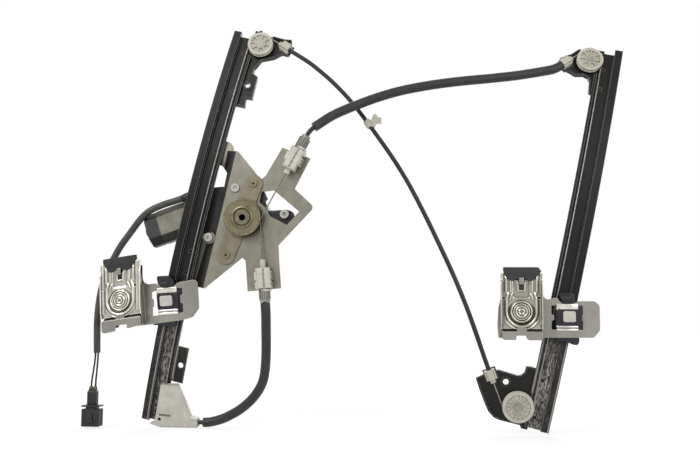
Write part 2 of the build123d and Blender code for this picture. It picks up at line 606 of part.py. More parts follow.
with BuildPart() as motor_plate:
    with BuildSketch(FRONT):
        with BuildLine():
            Polyline(PLATE_OUTLINE, close=True)
        make_face()
        with BuildLine():
            Polyline(CUT_OUT, close=True)
        make_face(mode=Mode.SUBTRACT)
        Circle(SHAFT_NOSE + 0.3, mode=Mode.SUBTRACT)
        with Locations(*STRAP_HOLES):
            Circle(RIVET_RADIUS + SEAT_GAP, mode=Mode.SUBTRACT)
        with Locations((25.2, -84.2)):
            Rectangle(17, 6, mode=Mode.SUBTRACT)
        with Locations(Location(UPPER_SLOT, UPPER_ADJUSTER_ANGLE), Location(LOWER_SLOT, LOWER_ADJUSTER_ANGLE)):
            Rectangle(CLIP_WIDTH + 0.4, CLIP_DEPTH + 0.4, mode=Mode.SUBTRACT)
    extrude(amount=-PLATE_STEEL)
    add(slope.part)
    add(flange.part)
    add(slab(TILTED_FRONT.offset(5), SLOPE_OPENING, -40), mode=Mode.SUBTRACT)
    add(rod(pad_seat.offset(PLATE_STEEL), PAD_RADIUS - PLATE_STEEL, 20), mode=Mode.SUBTRACT)
    arm_way = Plane(origin=(SCREW_PAD[0], 8.7, SCREW_PAD[1]), x_dir=(-SCREW_PAD[0], 0, -SCREW_PAD[1]),
                    z_dir=(0, 1, 0))
    add(block(arm_way, 0, 14, -4.8, 4.8, 10), mode=Mode.SUBTRACT)
    for x, z in PLATE_SCREWS:
        add(rod(Plane(origin=(x, -2, z), z_dir=(0, 1, 0)), SCREW_RADIUS + 0.1, 6), mode=Mode.SUBTRACT)
    for along, inset in PLATE_RIVETS:
        add(rod(on_rail(along, LEFT_EDGE + inset, 5), RIVET_RADIUS + SEAT_GAP, -15), mode=Mode.SUBTRACT)
finish(motor_plate.part, "motor_plate")

STRAP_TURN = degrees(atan2(STRAP_HOLES[0][1] - STRAP_HOLES[1][1], STRAP_HOLES[0][0] - STRAP_HOLES[1][0]))
STRAP_MIDDLE = (
    (STRAP_HOLES[0][0] + STRAP_HOLES[1][0]) / 2,
    (STRAP_HOLES[0][1] + STRAP_HOLES[1][1]) / 2,
)
with BuildPart() as drum_strap:
    with BuildSketch(FRONT.offset(SEAT_GAP)):
        with Locations(Location(STRAP_MIDDLE, STRAP_TURN)):
            SlotCenterToCenter(88.5, STRAP_WIDTH)
        Circle(16)
        Circle(SHAFT_NOSE + 1.0, mode=Mode.SUBTRACT)
        with Locations(*STRAP_HOLES):
            Circle(RIVET_RADIUS + SEAT_GAP, mode=Mode.SUBTRACT)
        with Locations(*PLATE_SCREWS):
            Circle(SCREW_RADIUS + 3.0, mode=Mode.SUBTRACT)
    extrude(amount=STRAP_STEEL)
finish(drum_strap.part, "drum_strap")

STRAP_FRONT = SEAT_GAP + STRAP_STEEL
with BuildPart() as plate_rivets:
    for along, inset in PLATE_RIVETS:
        add(flush_rivet(along, LEFT_EDGE + inset, FLUSH, FLANGE_HEIGHT - PLATE_STEEL))
    for place in STRAP_HOLES:
        spot = Plane(origin=(place[0], 0, place[1]), x_dir=(1, 0, 0), z_dir=(0, -1, 0))
        add(rod(spot.offset(-PLATE_STEEL), RIVET_RADIUS, PLATE_STEEL + STRAP_FRONT + SEAT_GAP))
        add(rod(spot.offset(STRAP_FRONT + SEAT_GAP), 4.2, 1.4))
finish(plate_rivets.part, "plate_rivets")

# ---------------------------------------------------------------- output shaft, drum and drum cables
BACKWARD = Plane(origin=(0, 0, 0), x_dir=(1, 0, 0), z_dir=(0, 1, 0))
SHAFT_FRONT = -12.0
DAMPER_FRONT = 29.5
DAMPER_BACK = 33.0
DRIVER_BACK = 34.6
GROOVE_FLOOR = DRUM_CABLE_RADIUS - CABLE_DIAMETER / 2 - 0.3
with BuildPart() as output_shaft:
    add(rod(BACKWARD.offset(SHAFT_FRONT), SHAFT_RADIUS, DRIVER_BACK - SHAFT_FRONT, WINDING_BORE))
    add(rod(BACKWARD.offset(DAMPER_BACK + SEAT_GAP), 15.5, DRIVER_BACK - DAMPER_BACK - SEAT_GAP, SHAFT_RADIUS - 0.5))
finish(output_shaft.part, "output_shaft")

with BuildPart() as cable_drum:
    with BuildSketch(Plane(origin=(0, 0, 0), x_dir=(1, 0, 0), z_dir=(0, 0, 1))):
        with BuildLine():
            Polyline(
                (SHAFT_RADIUS + RUNNING_GAP, -DRUM_FRONT + 0.6),
                (SHAFT_RADIUS + 0.8, -DRUM_FRONT),
                (DRUM_HUB - 0.6, -DRUM_FRONT),
                (DRUM_HUB, -DRUM_FRONT + 0.6),
                (DRUM_HUB + 0.2, -DRUM_FRONT + 1.8),
                (DRUM_DISH, -DRUM_FRONT + 1.8),
                (DRUM_DISH + 0.4, -DRUM_FRONT - 0.2),
                (DRUM_DISH + 1.0, -DRUM_FRONT - 0.6),
                (DRUM_DISH + 2.0, -DRUM_FRONT - 0.2),
                (DRUM_DISH + 2.8, -DRUM_FRONT + 0.9),
                (DRUM_RIM - 2.0, -DRUM_FRONT + 0.8),
                (DRUM_RIM - 1.2, -DRUM_FRONT),
                (DRUM_RIM - 0.6, -DRUM_FRONT),
                (DRUM_RIM, -DRUM_FRONT + 0.7),
                (DRUM_RIM, -DRUM_FRONT + 1.8),
                (GROOVE_FLOOR, -DRUM_FRONT + 2.4),
                (GROOVE_FLOOR, -DRUM_BACK - DRUM_FLANGE),
                (DRUM_BACK_RIM, -DRUM_BACK - DRUM_FLANGE),
                (DRUM_BACK_RIM, -DRUM_BACK),
                (SHAFT_RADIUS + RUNNING_GAP, -DRUM_BACK),
                close=True,
            )
        make_face()
    revolve(axis=Axis.Y)
finish(cable_drum.part, "cable_drum")


def strand_frame(angle, front):
    """Plane where a strand leaves the drum on its right side, square to the strand."""
    turn = radians(angle)
    side = 1 if angle > 0 else -1
    foot = Vector(sin(turn), 0, -cos(turn)) * DRUM_CABLE_RADIUS * side
    origin = foot - Vector(0, 1, 0) * front
    return Plane(origin=origin, x_dir=(sin(turn), 0, -cos(turn)), z_dir=(cos(turn), 0, sin(turn)))


UPPER_STRAND = strand_frame(UPPER_ADJUSTER_ANGLE, UPPER_CABLE_FRONT)
LOWER_STRAND = strand_frame(LOWER_ADJUSTER_ANGLE, LOWER_CABLE_FRONT)
WRAP_START = UPPER_ADJUSTER_ANGLE - 90
WRAP_ANGLE = 720 - (LOWER_ADJUSTER_ANGLE + 90 - WRAP_START)
WRAP_LENGTH = UPPER_CABLE_FRONT - LOWER_CABLE_FRONT
WRAP_PITCH = WRAP_LENGTH * 360 / WRAP_ANGLE
UPPER_STRAND_LENGTH = 110.0
LOWER_STRAND_LENGTH = 86.0
wrap_seat = Plane(
    origin=(0, -UPPER_CABLE_FRONT, 0),
    x_dir=(cos(radians(WRAP_START)), 0, sin(radians(WRAP_START))),
    z_dir=(0, 1, 0),
)
wrap_path = wrap_seat * Helix(WRAP_PITCH, WRAP_LENGTH, DRUM_CABLE_RADIUS)
with BuildPart() as drum_cables:
    with BuildSketch(Plane(origin=wrap_path @ 0, z_dir=wrap_path % 0)):
        Circle(CABLE_DIAMETER / 2)
    sweep(path=wrap_path, is_frenet=True)
    add(rod(UPPER_STRAND.offset(SEAT_GAP), CABLE_DIAMETER / 2, UPPER_STRAND_LENGTH))
    add(rod(LOWER_STRAND.offset(SEAT_GAP), CABLE_DIAMETER / 2, LOWER_STRAND_LENGTH))
finish(drum_cables.part, "drum_cables")

# ---------------------------------------------------------------- cable adjusters
ADJUSTER_BORE = 4.6
ADJUSTER_FRONT = 7.0
TUBE_RIB = 6.6
TUBE_SPLINES = 16
UPPER_STEPS = ((74.3, 82.5, 6.5), (82, 92, 9.2), (91.5, 95, 6.5), (94.5, 100, 8.0))
LOWER_STEPS = ((59.2, 64, 7.5), (63.5, 73, 9.3), (72.5, 76, 7.5), (75.5, 83, 9.0))
UPPER_TUBE = (93.0, 114.0)
LOWER_TUBE = (72.0, 94.6)
SPRINGS = []


def adjuster(prefix, frame, front, steps, nozzle_at, slot, tube_from, tube_to, collar):
    """Spring-loaded casing adjuster: clipped body, ribbed tube with the casing's socket, and spring."""
    body_at = steps[0][0]
    body_end = steps[-1][1]
    with BuildPart() as body:
        add(rod(frame.offset(nozzle_at), 3.4, body_at - nozzle_at + 1))
        for start, end, half in steps:
            add(block(frame.offset(start), -half, half, -ADJUSTER_FRONT, front - SEAT_GAP, end - start))
            if half > 8:
                for lane in (-half, half):
                    add(block(frame.offset(start + 1.5), lane - 1.2, lane + 1.2,
                              -ADJUSTER_FRONT + 2.5, front - 2.5, end - start - 3), mode=Mode.SUBTRACT)
        clip = Plane(origin=(slot[0], -0.5, slot[1]), x_dir=frame.z_dir, z_dir=(0, 1, 0))
        add(block(clip, -CLIP_WIDTH / 2, CLIP_WIDTH / 2, -CLIP_DEPTH / 2, CLIP_DEPTH / 2, 3.2))
        add(rod(frame.offset(body_at + 4), ADJUSTER_BORE + SEAT_GAP, 60), mode=Mode.SUBTRACT)
        add(rod(frame.offset(nozzle_at - 1), CABLE_BORE, 80), mode=Mode.SUBTRACT)
    finish(body.part, f"{prefix}_adjuster_body")
    with BuildPart() as tube:
        add(rod(frame.offset(tube_from), ADJUSTER_BORE, tube_to - tube_from))
        spline = Plane(origin=frame.origin + frame.z_dir * (body_end + 0.4), x_dir=frame.x_dir, z_dir=frame.z_dir)
        add(rod(spline, TUBE_RIB - 0.8, tube_to - body_end - 0.4))
        for step in range(TUBE_SPLINES):
            turned = Location((0, 0, 0), (0, 0, step * 360 / TUBE_SPLINES))
            add(block(spline * turned, 0, TUBE_RIB, -0.55, 0.55, tube_to - body_end - 0.4))
        add(rod(frame.offset(tube_to - 0.1), collar, 3.5))
        add(rod(frame.offset(tube_from - 1), CABLE_BORE, 60), mode=Mode.SUBTRACT)
        add(rod(frame.offset(tube_from + 5), CASING_DIAMETER / 2 + SEAT_GAP, 60), mode=Mode.SUBTRACT)
    finish(tube.part, f"{prefix}_adjuster_tube")
    coil = frame.offset(body_at + 4.6) * Helix(2.4, tube_from - body_at - 6.0, ADJUSTER_BORE - 1.0)
    with BuildPart() as spring:
        with BuildSketch(Plane(origin=coil @ 0, z_dir=coil % 0)):
            Circle(0.4)
        sweep(path=coil, is_frenet=True)
    SPRINGS.append(spring.part)


adjuster("upper", UPPER_STRAND, UPPER_CABLE_FRONT, UPPER_STEPS, 68.0, UPPER_SLOT, *UPPER_TUBE, 5.0)
adjuster("lower", LOWER_STRAND, LOWER_CABLE_FRONT, LOWER_STEPS, 49.6, LOWER_SLOT, *LOWER_TUBE, 6.0)
with BuildPart() as adjuster_springs:
    for coil_part in SPRINGS:
        add(coil_part)
finish(adjuster_springs.part, "adjuster_springs")

# ---------------------------------------------------------------- casings and their sleeves
CASING_RADIUS = CASING_DIAMETER / 2
END_GAP = 0.05


def at(frame_origin, direction, distance):
    """Point a distance along a direction, as a plain tuple."""
    point = frame_origin + direction * distance
    return (point.X, point.Y, point.Z)


def between(start, end, share):
    """Point part of the way from one point to another."""
    return tuple(a + (b - a) * share for a, b in zip(start, end))


def route_radii(points):
    """Largest even bend at each corner that leaves a tenth of the shorter run straight."""
    radii = []
    for before, corner, after in zip(points, points[1:], points[2:]):
        first = Vector(*corner) - Vector(*before)
        second = Vector(*after) - Vector(*corner)
        half_turn = radians(first.get_angle(second)) / 2
        radii.append(0.45 * min(first.length, second.length) / tan(half_turn))
    return radii


def tube_along(points, radii, outer, bore):
    """Tube swept along rounded runs between points."""
    with BuildPart() as tube:
        with BuildLine() as route:
            FilletPolyline(*points, radius=radii)
        with BuildSketch(Plane(origin=route.line @ 0, z_dir=route.line % 0)):
            Circle(outer)
            if bore:
                Circle(bore, mode=Mode.SUBTRACT)
        sweep(path=route.line)
    return tube.part


CROSS_ROUTE = [
    at(LEFT_EXIT.origin, LEFT_EXIT.x_dir, LEFT_FERRULE_AT + FERRULE_LENGTH - SOCKET_DEPTH + END_GAP),
    at(LEFT_EXIT.origin, LEFT_EXIT.x_dir, 44),
    (71.5, 25.8, 190.5), (96, 24.3, 169), (116, 23, 147.5), (133, 21.3, 125.8), (153.5, 19.3, 96.3),
    (170, 17.6, 72), (188, 15.5, 42), (207, 13, 4), (224, 10.5, -33), (240, 8.2, -69), (254, 6.6, -105),
    (266, 6.5, -141),
    at(LOWER_EXIT.origin, LOWER_EXIT.x_dir, 60),
    at(LOWER_EXIT.origin, LOWER_EXIT.x_dir, LOWER_FERRULE_AT + FERRULE_LENGTH - SOCKET_DEPTH + END_GAP),
]
UPPER_ROUTE = [
    at(UPPER_STRAND.origin, UPPER_STRAND.z_dir, UPPER_TUBE[0] + 5 + END_GAP),
    at(UPPER_STRAND.origin, UPPER_STRAND.z_dir, 124.5),
    (87, -6, 107.5), (103, -2, 119), (124, 3, 129), (151, 7, 140), (180, 11, 149), (214, 16, 156),
    (249, 21, 161), (284, 26, 164.5), (317, 30.5, 168.5), (340, 33.6, 172.5),
    at(RIGHT_EXIT.origin, RIGHT_EXIT.x_dir, 41),
    at(RIGHT_EXIT.origin, RIGHT_EXIT.x_dir, RIGHT_FERRULE_AT + FERRULE_LENGTH - SOCKET_DEPTH + END_GAP),
]
LOWER_ROUTE = [
    at(LOWER_STRAND.origin, LOWER_STRAND.z_dir, LOWER_TUBE[0] + 5 + END_GAP),
    at(LOWER_STRAND.origin, LOWER_STRAND.z_dir, 110),
    (27.2, -1.5, -127), (26.4, 4.5, -149), (24.8, 10, -168), (21, 16, -187), (10, 21.5, -204), (-7, 27, -219),
    (-29, 31.5, -230.5),
    at(NOZZLE.origin, NOZZLE.x_dir, GUIDE_RUN + 15),
    at(NOZZLE.origin, NOZZLE.x_dir, GUIDE_RUN + 2 + END_GAP),
]
CROSS_RADII = route_radii(CROSS_ROUTE)
UPPER_RADII = route_radii(UPPER_ROUTE)
LOWER_RADII = route_radii(LOWER_ROUTE)
UPPER_SLEEVE = (
    [between(UPPER_ROUTE[1], UPPER_ROUTE[2], 0.5)]
    + UPPER_ROUTE[2:-1]
    + [at(RIGHT_EXIT.origin, RIGHT_EXIT.x_dir, RIGHT_FERRULE_AT + FERRULE_LENGTH + 1.5)]
)
LOWER_SLEEVE = (
    [at(LOWER_STRAND.origin, LOWER_STRAND.z_dir, 98.6)]
    + LOWER_ROUTE[1:-1]
    + [at(NOZZLE.origin, NOZZLE.x_dir, GUIDE_RUN + 8)]
)
SLEEVE_BORE = CASING_RADIUS + 0.1
CASING_BORE = CABLE_DIAMETER / 2 + 0.2
for name, radii in (("cross", CROSS_RADII), ("upper", UPPER_RADII), ("lower", LOWER_RADII)):
    print(name, "casing bend radii", [round(r) for r in radii])
finish(tube_along(CROSS_ROUTE, CROSS_RADII, CASING_RADIUS, CASING_BORE), "cross_casing")
finish(tube_along(UPPER_ROUTE, UPPER_RADII, CASING_RADIUS, CASING_BORE), "upper_casing")
finish(tube_along(LOWER_ROUTE, LOWER_RADII, CASING_RADIUS, CASING_BORE), "lower_casing")
finish(tube_along(UPPER_SLEEVE, UPPER_RADII[1:], SLEEVE_DIAMETER / 2, SLEEVE_BORE), "upper_casing_sleeve")
finish(tube_along(LOWER_SLEEVE, LOWER_RADII, SLEEVE_DIAMETER / 2, SLEEVE_BORE), "lower_casing_sleeve")

clip_direction = (Vector(*CROSS_ROUTE[6]) - Vector(*CROSS_ROUTE[5])).normalized()
clip_centre = Vector(*between(CROSS_ROUTE[5], CROSS_ROUTE[6], 0.44))
CLIP_RING = Plane(origin=clip_centre - clip_direction * 4.5, z_dir=clip_direction)
CLIP_LUG = [(1.5, -4.0), (3.4, 4.0), (6, 10), (9, 11), (11, 7), (15.5, 6.5), (15.5, 0), (10, 0.5), (7, -4.5)]
with BuildPart() as casing_clip:
    add(rod(CLIP_RING, CASING_RADIUS + 1.8, 9))
    add(slab(Plane(origin=clip_centre - Vector(0, 3, 0), x_dir=(1, 0, 0), z_dir=(0, -1, 0)), CLIP_LUG, -5))
    add(rod(CLIP_RING.offset(-3), CASING_RADIUS + SEAT_GAP, 16), mode=Mode.SUBTRACT)
finish(casing_clip.part, "casing_clip")

# ---------------------------------------------------------------- cables along the rails
STRAND_IN_CASING = 10.0


def rail_strand(bottom, top, across):
    """Cable up one rail, at its height over the rail's curve."""
    with BuildPart() as strand:
        with BuildSketch(section_plane(bottom, across)):
            with Locations((0, CABLE_HEIGHT)):
                Circle(CABLE_DIAMETER / 2)
        revolve(axis=BEND_AXIS, revolution_arc=arc_of(top - bottom))
    return strand.part


def pulley_strand(along, across, groove, side, spin, arc):
    """Cable round a pulley, from the rail's strand to where it leaves."""
    seat = on_rail(along, across, CABLE_HEIGHT)
    start = seat.origin + seat.x_dir * groove * side
    with BuildPart() as strand:
        with BuildSketch(Plane(origin=start, x_dir=seat.x_dir, z_dir=seat.y_dir)):
            Circle(CABLE_DIAMETER / 2)
        revolve(axis=Axis(seat.origin, seat.z_dir * spin), revolution_arc=arc)
    return strand.part


def exit_strand(frame, length):
    """Straight cable from a pulley into its casing."""
    return rod(along_cable(frame, 0), CABLE_DIAMETER / 2, length)


LEFT_WRAP = 90 - LEFT_EXIT_ANGLE
RIGHT_WRAP = RIGHT_EXIT_ANGLE + 270
LOWER_WRAP = 270 - LOWER_EXIT_ANGLE
with BuildPart() as left_rail_cable:
    add(guide_strand(CABLE_DIAMETER / 2, LEFT_UPPER_ALONG - GUIDE_BEND_ALONG, GUIDE_RUN + 2 + STRAND_IN_CASING))
    add(pulley_strand(LEFT_UPPER_ALONG, LEFT_UPPER_ACROSS, UPPER_GROOVE, -1, -1, LEFT_WRAP))
    add(exit_strand(LEFT_EXIT, LEFT_FERRULE_AT + STRAND_IN_CASING))
finish(left_rail_cable.part, "left_rail_cable")
with BuildPart() as right_rail_cable:
    add(rail_strand(RIGHT_LOWER_ALONG, RIGHT_UPPER_ALONG, RIGHT_CABLE))
    add(pulley_strand(RIGHT_UPPER_ALONG, RIGHT_UPPER_ACROSS, UPPER_GROOVE, 1, 1, RIGHT_WRAP))
    add(exit_strand(RIGHT_EXIT, RIGHT_FERRULE_AT + STRAND_IN_CASING))
    add(pulley_strand(RIGHT_LOWER_ALONG, RIGHT_LOWER_ACROSS, LOWER_GROOVE, 1, -1, LOWER_WRAP))
    add(exit_strand(LOWER_EXIT, LOWER_FERRULE_AT + STRAND_IN_CASING))
finish(right_rail_cable.part, "right_rail_cable")

# ---------------------------------------------------------------- gear housing
slope_x = -cos(radians(MOTOR_SLOPE))
slope_z = -sin(radians(MOTOR_SLOPE))
CENTRES = WHEEL_PITCH_RADIUS + WORM_PITCH_RADIUS
MOTOR = Plane(origin=(CENTRES * slope_z, WORM_DEPTH, -CENTRES * slope_x), x_dir=(slope_z, 0, -slope_x),
              z_dir=(slope_x, 0, slope_z))
CUP_FRONT = 9.0
CUP_BACK = 36.0
CUP_BORE = WHEEL_PITCH_RADIUS + 1.2
CUP_RADIUS = CUP_BORE + HOUSING_WALL
TUNNEL_RADIUS = 9.5
TUNNEL_BORE = 7.0
TUNNEL_START = -17.0
FLANGE_START = 44.0
EAR_RADIUS = 5.5
EAR_FRONT = PLATE_STEEL + SEAT_GAP
EAR_BACK = 13.0
STUB = (39.0, 47.0, 15.0, 27.0, -16.0, -5.0)


def eight_sided(half_height, half_depth, bevel):
    """Outline of the motor's bevelled section."""
    return [
        (half_height, -half_depth + bevel), (half_height, half_depth - bevel),
        (half_height - bevel, half_depth), (-half_height + bevel, half_depth),
        (-half_height, half_depth - bevel), (-half_height, -half_depth + bevel),
        (-half_height + bevel, -half_depth), (half_height - bevel, -half_depth),
    ]


CAN_OUTLINE = eight_sided(CAN_HEIGHT / 2, CAN_DEPTH / 2, CAN_BEVEL)
CAN_INSIDE = eight_sided(CAN_HEIGHT / 2 - CAN_WALL, CAN_DEPTH / 2 - CAN_WALL, CAN_BEVEL - 0.8)
HOLDER_OUTLINE = eight_sided(CAN_HEIGHT / 2 - CAN_WALL - 0.1, CAN_DEPTH / 2 - CAN_WALL - 0.1, CAN_BEVEL - 0.8)
CAP_OUTLINE = eight_sided(CAN_HEIGHT / 2 - 0.5, CAN_DEPTH / 2 - 0.5, CAN_BEVEL)
CAP_INSIDE = eight_sided(CAN_HEIGHT / 2 - 2.5, CAN_DEPTH / 2 - 2.5, CAN_BEVEL - 0.8)
GEARBOX_SCREWS = PLATE_SCREWS + [EAR_SCREW]
with BuildPart() as gear_housing:
    add(rod(BACKWARD.offset(CUP_FRONT), CUP_RADIUS, CUP_BACK - CUP_FRONT))
    add(rod(BACKWARD.offset(-0.9), SHAFT_NOSE, CUP_FRONT + 2))
    add(rod(MOTOR.offset(TUNNEL_START - 3), TUNNEL_RADIUS, CAN_START - 2 - TUNNEL_START + 3))
    add(block(MOTOR.offset(20), -12, 12, -11, 11, 26))
    add(slab(MOTOR.offset(FLANGE_START), CAN_OUTLINE, CAN_START - 2 - FLANGE_START))
    add(block(MOTOR.offset(STUB[0]), STUB[2], STUB[3], STUB[4], STUB[5], STUB[1] - STUB[0]))
    for x, z in GEARBOX_SCREWS:
        reach = (x * x + z * z) ** 0.5
        ear = Plane(origin=(x, EAR_FRONT, z), x_dir=(-x, 0, -z), z_dir=(0, 1, 0))
        add(rod(ear, EAR_RADIUS, EAR_BACK - EAR_FRONT))
        add(block(ear.offset(CUP_FRONT - EAR_FRONT), 0, reach - CUP_RADIUS + 4, -4.5, 4.5, EAR_BACK - CUP_FRONT))
    add(rod(BACKWARD.offset(CUP_FRONT + HOUSING_WALL), CUP_BORE, 40), mode=Mode.SUBTRACT)
    add(rod(MOTOR.offset(TUNNEL_START), TUNNEL_BORE, 80), mode=Mode.SUBTRACT)
    add(rod(BACKWARD.offset(-3), SHAFT_RADIUS + RUNNING_GAP, 20), mode=Mode.SUBTRACT)
    for x, z in GEARBOX_SCREWS:
        add(rod(Plane(origin=(x, 0, z), z_dir=(0, 1, 0)), SCREW_RADIUS + SEAT_GAP, 30), mode=Mode.SUBTRACT)
finish(gear_housing.part, "gear_housing")

with BuildPart() as gear_cover:
    add(rod(BACKWARD.offset(CUP_BACK + SEAT_GAP), CUP_RADIUS, 2.0))
    add(rod(BACKWARD.offset(CUP_BACK + SEAT_GAP), 7.0, 3.5))
    add(rod(MOTOR.offset(TUNNEL_START - 10), TUNNEL_RADIUS + 0.1, 90), mode=Mode.SUBTRACT)
    add(block(MOTOR.offset(19), -12.5, 12.5, -11.5, 11.5, 30), mode=Mode.SUBTRACT)
finish(gear_cover.part, "gear_cover")

with BuildPart() as housing_screws:
    for x, z in PLATE_SCREWS:
        spot = Plane(origin=(x, -SEAT_GAP, z), x_dir=(1, 0, 0), z_dir=(0, 1, 0))
        add(rod(spot, SCREW_RADIUS, 12))
        add(rod(spot, SCREW_HEAD, -SCREW_HEAD_HEIGHT))
        add(rod(spot.offset(-3.5), 1.9, 2.7), mode=Mode.SUBTRACT)
    spot = Plane(origin=(EAR_SCREW[0], EAR_FRONT - SEAT_GAP, EAR_SCREW[1]), x_dir=(1, 0, 0), z_dir=(0, 1, 0))
    add(rod(spot, SCREW_RADIUS, 10))
    add(rod(spot, SCREW_HEAD, -3.0))
    add(rod(spot.offset(-3.5), 1.9, 2.2), mode=Mode.SUBTRACT)
finish(housing_screws.part, "housing_screws")

# ---------------------------------------------------------------- worm wheel and damper
TOOTH_HEIGHT = 1.3
ROOT_RADIUS = WHEEL_PITCH_RADIUS - 0.7
tooth_step = 360 / WHEEL_TEETH
tooth_points = []
for tooth in range(WHEEL_TEETH):
    for share, radius in ((-0.38, ROOT_RADIUS), (-0.18, ROOT_RADIUS + TOOTH_HEIGHT),
                          (0.18, ROOT_RADIUS + TOOTH_HEIGHT), (0.38, ROOT_RADIUS)):
        turn = radians((tooth + share) * tooth_step)
        tooth_points.append((radius * cos(turn), radius * sin(turn)))
WHEEL_FRONT = WORM_DEPTH - WHEEL_WIDTH / 2
with BuildPart() as worm_wheel:
    add(slab(BACKWARD.offset(WHEEL_FRONT), tooth_points, WHEEL_WIDTH))
    add(rod(BACKWARD.offset(DAMPER_FRONT), 17.0, 10, SHAFT_RADIUS + 2.5), mode=Mode.SUBTRACT)
    add(rod(BACKWARD.offset(WHEEL_FRONT - 1), SHAFT_RADIUS + RUNNING_GAP, 20), mode=Mode.SUBTRACT)
finish(worm_wheel.part, "worm_wheel")
with BuildPart() as wheel_damper:
    add(rod(BACKWARD.offset(DAMPER_FRONT + SEAT_GAP), 16.9, DAMPER_BACK - DAMPER_FRONT - SEAT_GAP, SHAFT_RADIUS + 2.6))
    for turn in (0, 120, 240):
        lobe = Plane(origin=(0, DAMPER_FRONT + 1.5, 0), x_dir=(cos(radians(turn)), 0, sin(radians(turn))), z_dir=(0, 1, 0))
        add(block(lobe, 10, 15, -1.5, 1.5, 5), mode=Mode.SUBTRACT)
finish(wheel_damper.part, "wheel_damper")

# ---------------------------------------------------------------- motor
MOTOR_SHAFT = 2.5
CAN_JOINT = CAN_START - 2 + SEAT_GAP
finish(slab(MOTOR.offset(CAN_JOINT), CAN_OUTLINE, CAN_END - CAN_JOINT)
       - slab(MOTOR.offset(CAN_JOINT - 1), CAN_INSIDE, CAN_END - CAN_JOINT + 2), "motor_can")

with BuildPart() as motor_end_cap:
    add(slab(MOTOR.offset(CAN_END + SEAT_GAP), CAP_OUTLINE, CAP_END - CAN_END - SEAT_GAP))
    add(rod(MOTOR.offset(CAP_END - 1), 5.2, 5))
    add(slab(MOTOR.offset(CAN_END - 1), CAP_INSIDE, CAP_END - CAN_END - 2), mode=Mode.SUBTRACT)
    add(rod(MOTOR.offset(CAP_END - 7), 7.0, 5))
    add(rod(MOTOR.offset(CAP_END - 7), 5.0, 6), mode=Mode.SUBTRACT)
    add(rod(MOTOR.offset(CAP_END - 8), MOTOR_SHAFT + 0.1, 10), mode=Mode.SUBTRACT)
finish(motor_end_cap.part, "motor_end_cap")

MAGNET = [(18.1, -4.8), (18.1, 4.8), (14.8, 8.1), (9, 8.1), (9, -8.1), (14.8, -8.1)]
MAGNET_START = 58.0
MAGNET_LENGTH = 33.0
with BuildPart() as field_magnets:
    for side in (1, -1):
        add(slab(MOTOR.offset(MAGNET_START), mirrored(MAGNET, side), MAGNET_LENGTH))
    add(rod(MOTOR.offset(MAGNET_START - 1), ARMATURE_RADIUS + 0.5, MAGNET_LENGTH + 2), mode=Mode.SUBTRACT)
finish(field_magnets.part, "field_magnets")

with BuildPart() as armature_shaft:
    add(rod(MOTOR.offset(TUNNEL_START + 0.2), MOTOR_SHAFT, CAP_END - TUNNEL_START))
    add(rod(MOTOR.offset(-6.5), 4.2, 20))
finish(armature_shaft.part, "armature_shaft")

with BuildPart() as armature_core:
    add(rod(MOTOR.offset(61), ARMATURE_RADIUS, 27, MOTOR_SHAFT + RUNNING_GAP))
    for slot in range(8):
        turn = radians(slot * 45)
        lane = Plane(origin=MOTOR.origin + MOTOR.z_dir * 60,
                     x_dir=MOTOR.x_dir * cos(turn) + MOTOR.y_dir * sin(turn), z_dir=MOTOR.z_dir)
        add(block(lane, 5.5, 20, -0.9, 0.9, 30), mode=Mode.SUBTRACT)
finish(armature_core.part, "armature_core")
finish(rod(MOTOR.offset(93), 6.0, 7.5, MOTOR_SHAFT + RUNNING_GAP), "commutator")

with BuildPart() as brush_holder:
    add(slab(MOTOR.offset(92.5), HOLDER_OUTLINE, 8.5))
    add(rod(MOTOR.offset(90), 7.2, 20), mode=Mode.SUBTRACT)
    add(block(MOTOR.offset(94.4), -14.0, 14.0, -2.1, 2.1, 4.7), mode=Mode.SUBTRACT)
finish(brush_holder.part, "brush_holder")
with BuildPart() as brushes:
    add(block(MOTOR.offset(94.5), 6.3, 13.6, -2.0, 2.0, 4.5))
    add(block(MOTOR.offset(94.5), -13.6, -6.3, -2.0, 2.0, 4.5))
finish(brushes.part, "brushes")
with BuildPart() as armature_bushes:
    add(rod(MOTOR.offset(TUNNEL_START + 0.05), TUNNEL_BORE - 0.05, 5.5, MOTOR_SHAFT + RUNNING_GAP))
    add(rod(MOTOR.offset(CAP_END - 6.9), 4.95, 5.8, MOTOR_SHAFT + RUNNING_GAP))
finish(armature_bushes.part, "armature_bushes")

# ---------------------------------------------------------------- motor lead
HARNESS_RADIUS = 4.0
HARNESS_HEIGHT = 23.0
HARNESS_DEPTH = -11.0
WIRE_RADIUS = 1.1
lead_start = MOTOR.origin + MOTOR.x_dir * HARNESS_HEIGHT + MOTOR.y_dir * HARNESS_DEPTH
HARNESS_ROUTE = [
    at(lead_start, MOTOR.z_dir, STUB[1] + END_GAP),
    at(lead_start, MOTOR.z_dir, 74),
    (-100, 17, 21.5), (-119, 16.5, 14), (-131, 17.5, 3.5), (-143, 19, -12.5), (-155.5, 20.5, -28), (-164, 21, -43.5),
    (-175, 21.5, -66), (-180, 22, -88), (-182.2, 22, -112), (-181.6, 21.5, -134), (-180.6, 21, -155),
]
HARNESS_RADII = route_radii(HARNESS_ROUTE)
print("harness bend radii", [round(r) for r in HARNESS_RADII])
finish(tube_along(HARNESS_ROUTE, HARNESS_RADII, HARNESS_RADIUS, HARNESS_RADIUS - 0.9), "harness_sleeve")
WIRE_ENDS = ((-1.6, -186.4), (1.6, -181.2))
with BuildPart() as harness_wires:
    for shift, end_x in WIRE_ENDS:
        wire_route = [
            (-180.7 + shift, 21, -146), (-180.7 + shift, 21, -160), ((end_x - 180.7 + shift) / 2, 21, -180),
            (end_x, 21, -192), (end_x, 21, -203),
        ]
        add(tube_along(wire_route, 12.0, WIRE_RADIUS, 0))
